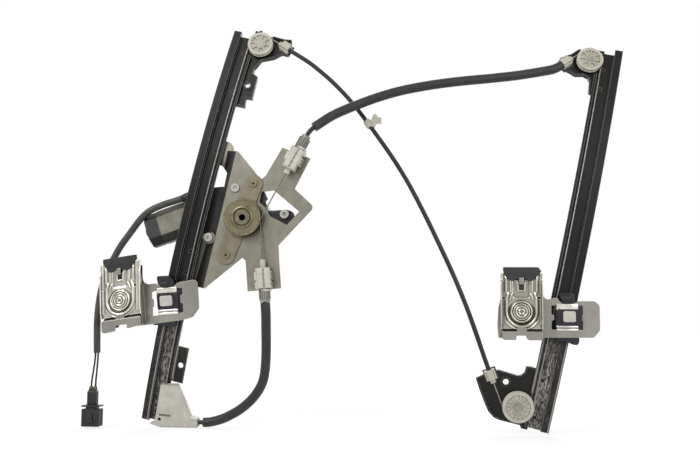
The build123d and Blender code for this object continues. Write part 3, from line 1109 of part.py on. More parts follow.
finish(harness_wires.part, "harness_wires")
PLUG = Plane(origin=(-184.0, 21, -197), x_dir=(1, 0, 0), z_dir=(0, 0, -1))
with BuildPart() as connector_plug:
    add(block(PLUG, -6, 6, -5, 5, 21))
    add(block(PLUG.offset(20.5), -11, 11, -7.5, 7.5, 3))
    add(block(PLUG.offset(23), -10, 10, -6.5, 6.5, 20))
    add(block(PLUG.offset(30), -4, 4, 6, 8.5, 8))
    add(block(PLUG.offset(26), -8, 8, -4.5, 4.5, 20), mode=Mode.SUBTRACT)
    for shift, end_x in WIRE_ENDS:
        add(rod(Plane(origin=(end_x, 21, -190), z_dir=(0, 0, -1)), WIRE_RADIUS + 0.1, 16), mode=Mode.SUBTRACT)
finish(connector_plug.part, "connector_plug")

# ---------------------------------------------------------------- glass carriers
PLATE_TOP = CARRIER_BACK + CARRIER_STEEL
PAD_BACK = PLATE_TOP + SEAT_GAP
SLOT_BACK = PLATE_TOP + PAD_SHEET
SLOT_FRONT = SLOT_BACK + GLASS_GAP
CLAMP_BACK = SLOT_FRONT + PAD_SHEET + SEAT_GAP
CLAMP_FRONT = CLAMP_BACK + CARRIER_STEEL
BOLT_AT = (-52.5, 5.0)
BOLT_SHANK = 3.5
SHELF_TOP = -16.1
RIGHT_ARM = [
    (-32, 22.9), (-24.4, 18.2), (-11.1, 17.7), (27.6, 17.0), (32, 12.8), (31.5, -12.8), (25, -21.1), (-32, -22.6),
]
LEFT_ARM = [
    (-28, 21.5), (-19.5, 20.5), (-7.7, 19.1), (14.8, 18.5), (37.6, 20.0), (41.0, 16.5), (40.5, -2.3),
    (39.2, -12.1), (32, -20.5), (-28, -25.5),
]
RIGHT_WINDOW = (-17.0, 14.0, -14.0, 11.6)
LEFT_WINDOW = (-15.0, 18.5, -14.5, 12.0)


def carrier(prefix, along, across, turn, edge, side, arm, window, clamp):
    """One glass carrier: plate, clamp, pad, bolt, slider and the block that holds the cable."""
    left, right, low, high = clamp

    def seat(height):
        return on_rail(along, across, height, turn)

    middle = (left + right) / 2
    bolt_place = seat(0).origin + seat(0).x_dir * BOLT_AT[0] + seat(0).y_dir * BOLT_AT[1]
    bolt = Plane(origin=bolt_place, x_dir=seat(0).x_dir, z_dir=seat(0).z_dir)
    with BuildPart() as plate:
        add(slab(seat(CARRIER_BACK), arm, CARRIER_STEEL))
        add(block(seat(CARRIER_BACK), left - 4, right + 2, low, high - 6, CARRIER_STEEL))
        add(block(seat(CARRIER_BACK), left, right, SHELF_TOP - 1.5, SHELF_TOP, CLAMP_FRONT + 3.2 - CARRIER_BACK))
        add(block(seat(CLAMP_FRONT + 1.7), left, right, low + 1.5, SHELF_TOP, 1.5))
        add(rod(bolt.offset(5.5), 7.0, 6))
        add(block(seat(0), window[0], window[1], window[2], window[3], 30), mode=Mode.SUBTRACT)
        for place in (window[2] - 1.2, window[3]):
            add(block(seat(CARRIER_BACK), -6, 6, place, place + 1.2, 5))
        add(block(seat(CLAMP_FRONT), middle - 5, middle + 5, low - 5, SHELF_TOP - 4.5, 6), mode=Mode.SUBTRACT)
        add(rod(bolt, BOLT_SHANK + 0.1, 20), mode=Mode.SUBTRACT)
    finish(plate.part, f"{prefix}_carrier_plate")

    with BuildPart() as jaw:
        add(block(seat(CLAMP_BACK), left, right, -13.5, high, CARRIER_STEEL))
        add(rod(bolt.offset(CLAMP_FRONT - 0.1), 15.5, 1.3))
        add(block(seat(CLAMP_FRONT - 0.1), BOLT_AT[0] - 5, BOLT_AT[0] + 5, 10, 26, 1.3))
        add(rod(bolt.offset(CLAMP_FRONT + 0.5), 13.2, 2, 12.0), mode=Mode.SUBTRACT)
        for wall in (left - 0.7, right - 0.8):
            add(block(seat(CLAMP_BACK), wall, wall + 1.5, -11, 36, 4.6))
        add(block(seat(0), BOLT_AT[0] - 2.75, BOLT_AT[0] + 2.75, 28.5, 35.6, 40), mode=Mode.SUBTRACT)
        add(rod(bolt, BOLT_SHANK + 0.1, 40), mode=Mode.SUBTRACT)
    finish(jaw.part, f"{prefix}_clamp_plate")

    top = high + 0.1
    crown = high + 4.2
    fold = [
        (left + 2.5, crown), (right - 3.5, crown), (right - 1.2, high - 1.3), (right - 10, high - 11),
        (left + 11.2, high - 11), (left + 1.4, high - 1.5),
    ]
    with BuildPart() as pad:
        add(block(seat(PAD_BACK), left + 1, right - 1, SHELF_TOP + 0.1, high - 8, SLOT_BACK - PAD_BACK))
        add(block(seat(PAD_BACK), left + 1, right - 1, SHELF_TOP + 0.1, SHELF_TOP + 1.6, CLAMP_BACK - 0.05 - PAD_BACK))
        add(block(seat(SLOT_FRONT), left + 1, right - 1, SHELF_TOP + 0.1, crown, CLAMP_BACK - 0.05 - SLOT_FRONT))
        add(block(seat(SLOT_FRONT), left + 2.5, right - 3.5, top, crown, CLAMP_FRONT + 1.5 - SLOT_FRONT))
        add(slab(seat(CLAMP_FRONT + 0.05), fold, 1.45))
        for rib in range(6):
            place = middle - 12.5 + 5 * rib
            add(block(seat(CLAMP_FRONT + 1.4), place - 0.7, place + 0.7, high - 9, crown - 1, 0.9))
        add(rod(bolt, 6.0, 40), mode=Mode.SUBTRACT)
    finish(pad.part, f"{prefix}_glass_pad")

    with BuildPart() as screw:
        add(rod(bolt.offset(6), BOLT_SHANK, CLAMP_FRONT + 1.3 - 6))
        add(rod(bolt.offset(CLAMP_FRONT + 1.25), 8.6, 1.3))
        add(rod(bolt.offset(CLAMP_FRONT + 2.5), 6.6, 2.2))
        with BuildSketch(bolt.offset(CLAMP_FRONT + 4.7)):
            RegularPolygon(2.9, 6)
        extrude(amount=-2.6, mode=Mode.SUBTRACT)
    finish(screw.part, f"{prefix}_clamp_bolt")

    inset = abs(across - edge)
    runs = (
        (along - 31, 57, inset - 8.5, inset + 8.5, -4.5, 10.9),
        (along - 9, 18, inset + 8, CABLE_INSET + 2.0, SLIDE_GAP, 10.9),
    )
    with BuildPart() as runner:
        for start, length, near, far, bottom, top_height in runs:
            with BuildSketch(section_plane(start, edge)):
                with Locations((side * (near + far) / 2, (bottom + top_height) / 2)):
                    Rectangle(far - near, top_height - bottom)
            revolve(axis=BEND_AXIS, revolution_arc=arc_of(length))
        add(block(seat(10.5), -11, 11, -8.5, 8.5, 5.5))
        with BuildSketch(section_plane(along - 40, edge)):
            with BuildLine():
                Polyline(mirrored(BODY_PROFILE, side), close=True)
            profile = make_face(mode=Mode.PRIVATE)
            offset(profile, amount=SLIDE_GAP, kind=Kind.INTERSECTION)
            with Locations((side * CABLE_INSET, CABLE_HEIGHT)):
                Circle(CABLE_BORE)
        revolve(axis=BEND_AXIS, revolution_arc=arc_of(80), mode=Mode.SUBTRACT)
        add(block(seat(12), -7.3, 7.3, -6.1, 6.1, 6), mode=Mode.SUBTRACT)
    finish(runner.part, f"{prefix}_slider")

    with BuildPart() as holder:
        add(block(seat(12.05), -7.2, 7.2, -6, 6, 5))
        add(block(seat(16.2), -7.5, 7.5, -0.8, 0.8, 2), mode=Mode.SUBTRACT)
    finish(holder.part, f"{prefix}_cable_block")


carrier("left", LEFT_CARRIER_ALONG, -69.9, LEFT_CARRIER_TURN, LEFT_EDGE, 1, LEFT_ARM, LEFT_WINDOW,
        (-74.5, -26.5, -28.0, 47.5))
carrier("right", RIGHT_CARRIER_ALONG, 379.6, RIGHT_CARRIER_TURN, RIGHT_EDGE, -1, RIGHT_ARM, RIGHT_WINDOW,
        (-73.7, -30.5, -25.0, 48.3))

# ---------------------------------------------------------------- export
os.makedirs("parts", exist_ok=True)
for piece in PIECES:
    export_step(piece, f"parts/{piece.label}.step")
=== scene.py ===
"""Twin-rail, cable-driven window regulator with its motor, dressed for a studio picture."""

from math import cos, pi, radians, sin

import bmesh
import bpy
from mathutils import Matrix, Vector


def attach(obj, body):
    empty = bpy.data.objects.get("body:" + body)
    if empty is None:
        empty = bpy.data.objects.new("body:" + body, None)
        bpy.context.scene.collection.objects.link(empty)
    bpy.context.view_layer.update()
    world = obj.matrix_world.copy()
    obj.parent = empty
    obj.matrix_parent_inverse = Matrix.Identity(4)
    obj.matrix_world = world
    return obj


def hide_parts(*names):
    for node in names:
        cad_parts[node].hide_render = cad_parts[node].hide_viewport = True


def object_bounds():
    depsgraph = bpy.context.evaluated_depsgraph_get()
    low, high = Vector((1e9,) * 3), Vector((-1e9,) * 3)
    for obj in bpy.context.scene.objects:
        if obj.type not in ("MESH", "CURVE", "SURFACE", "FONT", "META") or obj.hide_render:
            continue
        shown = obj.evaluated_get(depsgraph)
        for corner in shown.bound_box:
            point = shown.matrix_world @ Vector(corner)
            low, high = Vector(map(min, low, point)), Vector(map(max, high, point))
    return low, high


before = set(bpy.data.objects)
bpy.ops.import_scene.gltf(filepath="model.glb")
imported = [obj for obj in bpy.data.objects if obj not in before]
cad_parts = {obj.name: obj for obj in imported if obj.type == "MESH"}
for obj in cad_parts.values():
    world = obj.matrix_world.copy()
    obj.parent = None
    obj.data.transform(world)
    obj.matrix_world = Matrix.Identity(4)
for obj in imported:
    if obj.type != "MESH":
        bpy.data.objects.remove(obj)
cad_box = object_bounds()

# ---------------------------------------------------------------- camera
# A short telephoto a metre in front of the plate, a little below its middle and turned up and left.


def put(name, data):
    """A new object of the scene."""
    made = bpy.data.objects.new(name, data)
    bpy.context.scene.collection.objects.link(made)
    return made


camera_data = bpy.data.cameras.new("camera")
camera_data.lens = 43.216
camera_data.sensor_width = 36.0
camera_data.sensor_fit = "HORIZONTAL"
camera = put("camera", camera_data)
camera.matrix_world = Matrix((
    (0.99376, 0.01154, 0.11096, 0.22843),
    (0.11155, -0.10963, -0.98769, -0.94246),
    (0.00077, 0.99391, -0.11023, -0.12271),
    (0, 0, 0, 1),
))
bpy.context.scene.camera = camera

# ---------------------------------------------------------------- wiring harness
# A soft PVC sleeve over two wires. It leaves the brush holder's stub through a ribbed boot, loops
# over the motor and hangs beside the left carrier to the connector.
MM = 0.001
SLEEVE_RADIUS = 4.0
WIRE_RADIUS = 1.1
WIRES_ACROSS = -180.7
HARNESS_ROUTE = [
    (-61.4, 18, 33.85), (-86.9, 18, 25.1), (-100, 17, 21.5), (-119, 16.5, 14), (-131, 17.5, 3.5),
    (-143, 19, -12.5), (-155.5, 20.5, -28), (-164, 21, -43.5), (-175, 21.5, -66), (-180, 22, -88),
    (-182.2, 22, -112), (-181.6, 21.5, -134), (-180.6, 21, -155),
]
LEAD_AXIS = Vector((-0.9455, 0, -0.3256))
# The pale tone of the edges: rubbed wear and a painted highlight.
EDGE_WEAR_AND_HIGHLIGHT_TONE = "#b4b2ac"
# How far the painted shade in corners reaches, in millimetres.
CORNER_SHADE_REACH = 4.0


def linear(hex_colour):
    """The linear colour that a shader takes, from an sRGB hex value."""
    shares = [int(hex_colour[place:place + 2], 16) / 255 for place in (1, 3, 5)]
    return tuple(s / 12.92 if s <= 0.04045 else ((s + 0.055) / 1.055) ** 2.4 for s in shares) + (1.0,)


def add_node(tree, kind, settings=None, inputs=None):
    """Adds a shader node with its properties and sockets set; an input can be a value or another's socket."""
    node = tree.nodes.new(kind)
    for name, value in (settings or {}).items():
        if isinstance(name, int) or name in node.inputs:
            node.inputs[name].default_value = value
        else:
            setattr(node, name, value)
    for name, value in (inputs or {}).items():
        if isinstance(value, bpy.types.NodeSocket):
            tree.links.new(value, node.inputs[name])
        else:
            node.inputs[name].default_value = value
    return node


def object_place(tree):
    """The shaded point's place on its object, in metres."""
    return add_node(tree, "ShaderNodeTexCoord").outputs["Object"]


def ranged(tree, value, start, end, low=0.0, high=1.0, kind="LINEAR"):
    """A value spread over low to high as it goes from start to end."""
    return add_node(tree, "ShaderNodeMapRange", {"interpolation_type": kind, "From Min": start, "From Max": end,
                                                 "To Min": low, "To Max": high}, {"Value": value}).outputs["Result"]


def combined(tree, operation, *values):
    """The result of one sum on one or two values."""
    return add_node(tree, "ShaderNodeMath", {"operation": operation}, dict(enumerate(values))).outputs[0]


def mixed(tree, share, first, second, blend="MIX"):
    """Two colours mixed by a share from 0 to 1."""
    return add_node(tree, "ShaderNodeMix", {"data_type": "RGBA", "blend_type": blend},
                    {0: share, 6: first, 7: second}).outputs[2]


def mapped(tree, place=None, **settings):
    """A place turned, moved or stretched: the object's own where none is given."""
    return add_node(tree, "ShaderNodeMapping", settings, {"Vector": place or object_place(tree)}).outputs["Vector"]


def noise(tree, place, scale, detail, roughness=0.5):
    """Cloudy noise over a place, about 0.5 on average."""
    return add_node(tree, "ShaderNodeTexNoise", {"Scale": scale, "Detail": detail, "Roughness": roughness},
                    {"Vector": place}).outputs["Fac"]


def surface(name, light, dark, patch, rough, grain, depth, metallic=0.0, stretch=(1, 1, 1), soften=0.3,
            edge_wear_and_highlight=0.35, corner_shade=0.6, **sockets):
    """A mottled finish with a fine grain, edges lightened as rubbed wear and painted highlight, and painted shade
    in its corners; sizes in millimetres.
    """
    made = bpy.data.materials.new(name)
    made.use_nodes = True
    tree = made.node_tree
    tree.nodes.clear()
    drawn = mapped(tree, Scale=stretch)
    evened = ranged(tree, noise(tree, drawn, 1000 / patch, 4.0, 0.6), 0.32, 0.68)
    colour = mixed(tree, evened, linear(dark), linear(light))
    fine = noise(tree, drawn, 1000 / grain, 3.0)
    gloss = ranged(tree, fine, 0.3, 0.7, *rough)
    edges = add_node(tree, "ShaderNodeBevel", {"samples": 4, "Radius": soften * MM}).outputs["Normal"]
    relief = add_node(tree, "ShaderNodeBump", {"Strength": 1.0, "Distance": depth * MM},
                      {"Height": fine, "Normal": edges}).outputs["Normal"]
    straight = add_node(tree, "ShaderNodeNewGeometry").outputs["Normal"]
    aligned = add_node(tree, "ShaderNodeVectorMath", {"operation": "DOT_PRODUCT"},
                       {0: edges, 1: straight}).outputs["Value"]
    # Edges are lightened toward that tone: partly rubbed wear, partly a painted highlight.
    worn_and_highlit = mixed(tree, ranged(tree, aligned, 0.995, 0.8, 0.0, edge_wear_and_highlight), colour, linear(EDGE_WEAR_AND_HIGHLIGHT_TONE))
    # Painted shade: occlusion darkens the colour in corners, creases and between parts.
    sheltered = add_node(tree, "ShaderNodeAmbientOcclusion",
                         {"samples": 6, "Distance": CORNER_SHADE_REACH * MM}).outputs["AO"]
    shade_in_corners = ranged(tree, sheltered, 0.2, 0.85, 1 - corner_shade)
    shaded_in_corners = mixed(tree, 1.0, worn_and_highlit, shade_in_corners, "MULTIPLY")
    shader = add_node(tree, "ShaderNodeBsdfPrincipled", {"Metallic": metallic, **sockets},
                      {"Base Color": shaded_in_corners, "Roughness": gloss, "Normal": relief})
    add_node(tree, "ShaderNodeOutputMaterial", {}, {"Surface": shader.outputs["BSDF"]})
    return made


def join_parts(name, shapes, finish, body, at=None, smooth=True):
    """Makes a piece from a bmesh in millimetres, set in its place, and lets it ride on its body."""
    if at is not None:
        shapes.transform(at)
    shapes.transform(Matrix.Diagonal((MM, MM, MM, 1)))
    bmesh.ops.recalc_face_normals(shapes, faces=shapes.faces)
    for face in shapes.faces:
        face.smooth = smooth
    mesh = bpy.data.meshes.new(name)
    shapes.to_mesh(mesh)
    shapes.free()
    mesh.materials.append(finish)
    piece = put(name, mesh)
    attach(piece, body)
    return piece


def rounded_box(shapes, low, high, radius, segments=3):
    """A box between two corners, with its edges rounded over."""
    size = [b - a for a, b in zip(low, high)]
    middle = [(a + b) / 2 for a, b in zip(low, high)]
    made = bmesh.ops.create_cube(shapes, size=1.0, matrix=Matrix.Translation(middle) @ Matrix.Diagonal((*size, 1)))
    edges = list({edge_wear_and_highlight for corner in made["verts"] for edge_wear_and_highlight in corner.link_edges})
    bmesh.ops.bevel(shapes, geom=edges, offset=radius, segments=segments, affect="EDGES", profile=0.5,
                    material=-1, clamp_overlap=True)


def turned(shapes, profile, steps=48):
    """A solid turned about local Z from a profile of radius and height, with closed ends."""
    corners = [shapes.verts.new((radius, 0, height)) for radius, height in profile]
    runs = [shapes.edges.new(pair) for pair in zip(corners, corners[1:])]
    bmesh.ops.spin(shapes, geom=corners + runs, cent=(0, 0, 0), axis=(0, 0, 1), angle=2 * pi, steps=steps,
                   use_merge=True)
    bmesh.ops.remove_doubles(shapes, verts=shapes.verts, dist=0.001)


def facing(origin, x_axis, z_axis):
    """Placement in millimetres from an origin and the directions of local X and Z."""
    x_axis, z_axis = Vector(x_axis).normalized(), Vector(z_axis).normalized()
    y_axis = z_axis.cross(x_axis)
    return Matrix.Translation(origin) @ Matrix((x_axis, y_axis, z_axis)).transposed().to_4x4()


def soft_line(name, route, radius, finish):
    """A flexible line along one smooth spline through its route's run of points."""
    data = bpy.data.curves.new(name, "CURVE")
    data.dimensions = "3D"
    data.bevel_depth = radius * MM
    data.bevel_resolution = 6
    data.resolution_u = 16
    data.use_fill_caps = True
    spline = data.splines.new("NURBS")
    spline.points.add(len(route) - 1)
    for point, spot in zip(spline.points, route):
        point.co = (spot[0] * MM, spot[1] * MM, spot[2] * MM, 1)
    spline.order_u = 3
    spline.use_endpoint_u = True
    data.materials.append(finish)
    piece = put(name, data)
    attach(piece, "rails")
    return piece


DULL = {"Specular IOR Level": 0.36}
COATED = {"Specular IOR Level": 0.2}
# Soft PVC, extruded: dull charcoal with a faint greasy sheen along its length.
soft_pvc = surface("soft_pvc_extruded", "#4a4945", "#34332f", 14, (0.38, 0.52), 1.2, 0.05, IOR=1.53, **DULL)
# PVC wire insulation: smooth, near black.
wire_pvc = surface("pvc_wire_insulation", "#262625", "#191918", 9, (0.35, 0.45), 0.8, 0.02, IOR=1.53, **DULL)
# Glass-filled nylon, moulded: near black and slightly matt, with a fine sparked grain.
moulded_nylon = surface("glass_filled_nylon_moulded", "#252524", "#191919", 7, (0.34, 0.5), 0.5, 0.04,
                        IOR=1.53, **DULL)
# Silicone wire seal: dull olive rubber with dust in it.
seal_rubber = surface("silicone_wire_seal", "#7a785a", "#57563f", 3, (0.6, 0.75), 0.6, 0.05, IOR=1.41)
# Tinned brass blades: pale metal, lightly scuffed.
tinned_brass = surface("tinned_brass", "#c9c5b8", "#a29e91", 2, (0.25, 0.4), 0.4, 0.01, metallic=1.0)

harness = soft_line("harness_cord", HARNESS_ROUTE, SLEEVE_RADIUS, soft_pvc)
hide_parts("harness_sleeve")

for name, shift, end_x in (("left_wire", -1.6, -186.4), ("right_wire", 1.6, -181.2)):
    start_x = WIRES_ACROSS + shift
    wire = soft_line(name, [(start_x, 21, -148), (start_x, 21, -160), ((start_x + end_x) / 2, 21, -177),
                            (end_x, 21, -190), (end_x, 21, -204)], WIRE_RADIUS, wire_pvc)
    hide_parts("harness_wires")

# The boot's three ribs get smaller down to a plain cuff.
BOOT_PROFILE = [
    (0, -1.5), (6.2, -1.5), (6.4, 0), (6.4, 1.6), (5.5, 1.9), (5.4, 3.2), (5.9, 3.5), (5.9, 5.0), (5.1, 5.3),
    (5.0, 6.6), (5.5, 6.9), (5.4, 8.4), (4.8, 8.7), (4.7, 10.0), (5.0, 10.3), (4.9, 12.0), (4.5, 18.0),
    (4.25, 20.0), (3.6, 20.3), (0, 20.3),
]
boot = bmesh.new()
turned(boot, BOOT_PROFILE)
boot_piece = join_parts("harness_boot", boot, moulded_nylon, "rails",
                        at=facing(HARNESS_ROUTE[0], (0, 1, 0), LEAD_AXIS))

# The connector: a ribbed neck, a flange, and a shell with a latch round its blades.
plug = bmesh.new()
rounded_box(plug, (-4.6, -3.8, -0.6), (4.6, 3.8, 2.6), 1.6)
rounded_box(plug, (-5.6, -4.7, 1.6), (5.6, 4.7, 19.0), 1.8)
for rib in (-3.7, 0, 3.7):
    rounded_box(plug, (rib - 0.9, -5.3, 3.5), (rib + 0.9, 5.3, 18.6), 0.6)
rounded_box(plug, (-11, -7.3, 18.4), (11, 7.3, 20.2), 0.7)
rounded_box(plug, (-6.2, -5.2, 20.0), (6.2, 5.2, 24.0), 0.6)
for side in (-1, 1):
    for near, far, front, back, low, high, radius in (
            (6.6, 10.8, -6.5, -0.7, 22.6, 42.6, 0.9), (6.6, 10.8, 0.7, 6.5, 22.6, 42.6, 0.9),
            (1.0, 5.4, -6.5, -5.0, 23.0, 42.8, 0.5), (1.0, 5.4, 5.0, 6.5, 23.0, 42.8, 0.5),
            (8.6, 10.0, -6.2, 6.2, 23.2, 43.0, 0.5)):
        left, right = sorted((side * near, side * far))
        rounded_box(plug, (left, front, low), (right, back, high), radius)
rounded_box(plug, (-9.6, -6.0, 23.0), (9.6, -4.9, 43.0), 0.5)
rounded_box(plug, (-9.6, 4.9, 23.0), (9.6, 6.0, 43.0), 0.5)
rounded_box(plug, (-9.4, -5.6, 23.4), (9.4, 5.6, 27.0), 0.5)
rounded_box(plug, (-3.2, 6.0, 27.5), (3.2, 8.3, 37.0), 0.7)
rounded_box(plug, (-4.4, 6.6, 35.4), (4.4, 8.2, 38.4), 0.6)
plug_at = facing((-184.0, 21, -197), (1, 0, 0), (0, 0, -1))
plug_piece = join_parts("harness_connector", plug, moulded_nylon, "rails", at=plug_at)
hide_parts("connector_plug")

seal = bmesh.new()
for spot in (-2.4, 2.6):
    bmesh.ops.create_cone(seal, cap_ends=True, segments=24, radius1=2.5, radius2=2.1, depth=3.4,
                          matrix=Matrix.Translation((spot, 0, -1.6)) @ Matrix.Rotation(pi, 4, "X"))
seal_piece = join_parts("connector_seal", seal, seal_rubber, "rails", at=plug_at, smooth=False)

blades = bmesh.new()
for spot in (-3.4, 3.4):
    rounded_box(blades, (spot - 1.4, -0.4, 26), (spot + 1.4, 0.4, 39), 0.25)
blade_piece = join_parts("connector_blades", blades, tinned_brass, "rails", at=plug_at)

# ---------------------------------------------------------------- studio
# A wide pale floor just under the rails' feet and an even white surround, with three soft lamps.
FLOOR_GAP = 0.0006
FLOOR_SIZE = 6.0
FLOOR_GREY = 0.85
FLOOR_GLOW = 1.13
WORLD_LIGHT = 0.5
SHADOW_SHARE = 0.66
SHADOW_EDGE, WHITE_EDGE = 0.45, 1.0


def length_of(tree, place):
    """How far a place is from its origin."""
    return add_node(tree, "ShaderNodeVectorMath", {"operation": "LENGTH"}, {0: place}).outputs["Value"]


floor_shape = bmesh.new()
bmesh.ops.create_grid(floor_shape, x_segments=1, y_segments=1, size=FLOOR_SIZE)
floor_mesh = bpy.data.meshes.new("floor")
floor_shape.to_mesh(floor_mesh)
floor_shape.free()
floor = put("floor", floor_mesh)
floor.location.z = cad_box[0].z - FLOOR_GAP

bpy.context.scene.view_settings.view_transform = "Standard"
world = bpy.data.worlds.new("studio")
bpy.context.scene.world = world
world.use_nodes = True
pale_floor = bpy.data.materials.new("matt_white_floor")
pale_floor.use_nodes = True
for tree, kind in ((world.node_tree, "World"), (pale_floor.node_tree, "Material")):
    tree.nodes.clear()
    ray = add_node(tree, "ShaderNodeLightPath").outputs
    shown = combined(tree, "MAXIMUM", ray["Is Camera Ray"], ray["Is Glossy Ray"])
    shown = combined(tree, "MAXIMUM", shown, ray["Is Transmission Ray"])
    if kind == "World":
        soft, white = (add_node(tree, "ShaderNodeBackground", {"Color": (1, 1, 1, 1), "Strength": lit}).outputs[0]
                       for lit in (WORLD_LIGHT, 1.0))
    else:
        soft = add_node(tree, "ShaderNodeBsdfDiffuse", {"Color": (*[FLOOR_GREY] * 3, 1)}).outputs[0]
        white = add_node(tree, "ShaderNodeEmission", {"Strength": FLOOR_GLOW}).outputs[0]
        # Only the floor near the object takes its shadow; farther out it is even white.
        away = length_of(tree, object_place(tree))
        shown = combined(tree, "MULTIPLY", shown, ranged(tree, away, SHADOW_EDGE, WHITE_EDGE, SHADOW_SHARE))
    blend = add_node(tree, "ShaderNodeMixShader", {}, {0: shown, 1: soft, 2: white}).outputs[0]
    add_node(tree, f"ShaderNodeOutput{kind}", {}, {"Surface": blend})
floor_mesh.materials.append(pale_floor)

LAMPS = (
    ("key_lamp", (-0.75, -1.15, 0.95), 0.9, 13.0),
    ("fill_lamp", (1.15, -1.0, 0.45), 1.1, 7.0),
    ("back_lamp", (0.2, 1.3, 0.9), 1.2, 11.0),
)
SUBJECT = Vector((0.1, 0, 0))
for name, spot, size, power in LAMPS:
    lamp_data = bpy.data.lights.new(name, "AREA")
    lamp_data.shape = "SQUARE"
    lamp_data.size = size
    lamp_data.energy = power
    lamp = put(name, lamp_data)
    lamp.location = spot
    lamp.rotation_mode = "QUATERNION"
    lamp.rotation_quaternion = (SUBJECT - Vector(spot)).to_track_quat("-Z", "Y")

# ---------------------------------------------------------------- guide rails
# Two rails roll-formed from steel strip and e-coated black. The sliders have rubbed dull grey
# grease and bare specks into the channel below each carrier.
RAIL_LEAN = radians(12.9)
RAIL_SETBACK = 8.0
RAIL_RADIUS = 1000.0
ACROSS = Vector((cos(RAIL_LEAN), 0, -sin(RAIL_LEAN)))
ALONG = Vector((sin(RAIL_LEAN), 0, cos(RAIL_LEAN)))
LEFT_RUBBED_BELOW, RIGHT_RUBBED_BELOW = -0.122, -0.050
WEAR_FADE = 0.012
LEFT_CHANNEL, LEFT_LINES = (-64.0, -53.0), (-67.2, -46.6)
RIGHT_CHANNEL, RIGHT_LINES = (362.0, 376.0), (358.6, 383.6)


def on_rail(along, across, height=0.0, turn=0.0):
    """Placement on the rails' cylinder in millimetres: X across them, Y up them, Z out to the front."""
    angle = along / RAIL_RADIUS
    outward = ALONG * sin(angle) - Vector((0, 1, 0)) * cos(angle)
    upward = ALONG * cos(angle) + Vector((0, 1, 0)) * sin(angle)
    origin = (Vector((0, RAIL_SETBACK + RAIL_RADIUS, 0)) + ACROSS * across
              + outward * (RAIL_RADIUS + height))
    return facing(origin, ACROSS * cos(turn) + upward * sin(turn), outward)


def paint(finish, *names):
    """Gives the finish to the CAD nodes of these names."""
    for name in names:
        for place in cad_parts[name].material_slots:
            place.material = finish


def shader_of(finish):
    """The finish's shader node."""
    return next(node for node in finish.node_tree.nodes if node.type == "BSDF_PRINCIPLED")


def blend_toward(finish, tone, share):
    """Blends the finish's colour toward a tone by a share from 0 to 1."""
    tree, colour = finish.node_tree, shader_of(finish).inputs["Base Color"]
    tree.links.new(mixed(tree, share, colour.links[0].from_socket, linear(tone)), colour)
    return finish


def rail_coat(name, rubbed_below, channel, lines):
    """Cathodic e-coat on steel, rubbed below a height: speckled in the channel, bare along two lines."""
    # The strong lightening of its edges is a painted highlight along the folds, as well as rubbed wear.
    coat = surface(name, "#1c1c1b", "#0e0e0e", 22, (0.24, 0.36), 1.1, 0.03, stretch=(1, 1, 0.35), soften=1.1,
                   edge_wear_and_highlight=0.75, IOR=1.5, **COATED)
    tree = coat.node_tree
    upright = mapped(tree, Rotation=(0, -RAIL_LEAN, 0))
    along_and_across = add_node(tree, "ShaderNodeSeparateXYZ", {}, {"Vector": upright}).outputs

    def near(centre, start, end, low=0.0, high=1.0):
        """How near a point is to a line up the rail, between two distances in millimetres."""
        offset = combined(tree, "SUBTRACT", along_and_across["X"], centre * MM)
        return ranged(tree, combined(tree, "ABSOLUTE", offset), start * MM, end * MM, low, high)

    below = ranged(tree, along_and_across["Z"], rubbed_below, rubbed_below - WEAR_FADE)
    drawn_out = mapped(tree, upright, Scale=(1, 1, 0.2))
    picked = ranged(tree, noise(tree, drawn_out, 900.0, 5.0, 0.75), 0.44, 0.56)
    patchy = ranged(tree, noise(tree, drawn_out, 160.0, 2.0), 0.34, 0.56, 0.12)
    wear = combined(tree, "MULTIPLY", combined(tree, "MULTIPLY", below, picked), patchy)
    middle, half = (channel[0] + channel[1]) / 2, (channel[1] - channel[0]) / 2
    wear = combined(tree, "MULTIPLY", wear, near(middle, half + 0.6, half - 0.6, low=0.12))
    for centre in lines:
        line = combined(tree, "MULTIPLY", near(centre, 0.9, 0.35, high=0.8), below)
        wear = combined(tree, "MAXIMUM", wear, line)
    return blend_toward(coat, "#a8a39c", wear)


def along_axis(tree, axis, place=None):
    """How far a direction or the shaded point's place reaches along an axis."""
    return add_node(tree, "ShaderNodeVectorMath", {"operation": "DOT_PRODUCT", 1: tuple(axis)},
                    {0: place or object_place(tree)}).outputs["Value"]


def tone_between(finish, axis, start, end, tone, amount=1.0, within=None):
    """Blends a finish toward a tone from one distance to another along a direction, in millimetres."""
    tree = finish.node_tree
    share = ranged(tree, along_axis(tree, axis), start * MM, end * MM, 0.0, amount, "SMOOTHSTEP")
    if within:
        inside = ranged(tree, along_axis(tree, within[0]), within[1] * MM, within[2] * MM)
        share = combined(tree, "MULTIPLY", share, inside)
    return blend_toward(finish, tone, share)


def tone_round(finish, x, z, inner, outer, tone):
    """Blends a finish toward a tone round a spot on the plate's face, in millimetres."""
    tree = finish.node_tree
    reach = length_of(tree, mapped(tree, Location=(-x * MM, 0, -z * MM), Scale=(1, 0, 1)))
    return blend_toward(finish, tone, ranged(tree, reach, outer * MM, inner * MM))


def shade_facing(finish, direction, start, end, tone, amount=1.0):
    """Painted shade: blends a finish toward a tone on the faces that look in a direction."""
    tree = finish.node_tree
    outward = add_node(tree, "ShaderNodeNewGeometry").outputs["Normal"]
    turned_to = along_axis(tree, Vector(direction).normalized(), outward)
    return blend_toward(finish, tone, ranged(tree, turned_to, start, end, 0.0, amount))


# E-coat: a soft black sheen, with grey specks and two bare lines where the sliders rub.
paint(rail_coat("left_rail_e_coat", LEFT_RUBBED_BELOW, LEFT_CHANNEL, LEFT_LINES), "left_guide_rail")
paint(rail_coat("right_rail_e_coat", RIGHT_RUBBED_BELOW, RIGHT_CHANNEL, RIGHT_LINES), "right_guide_rail")

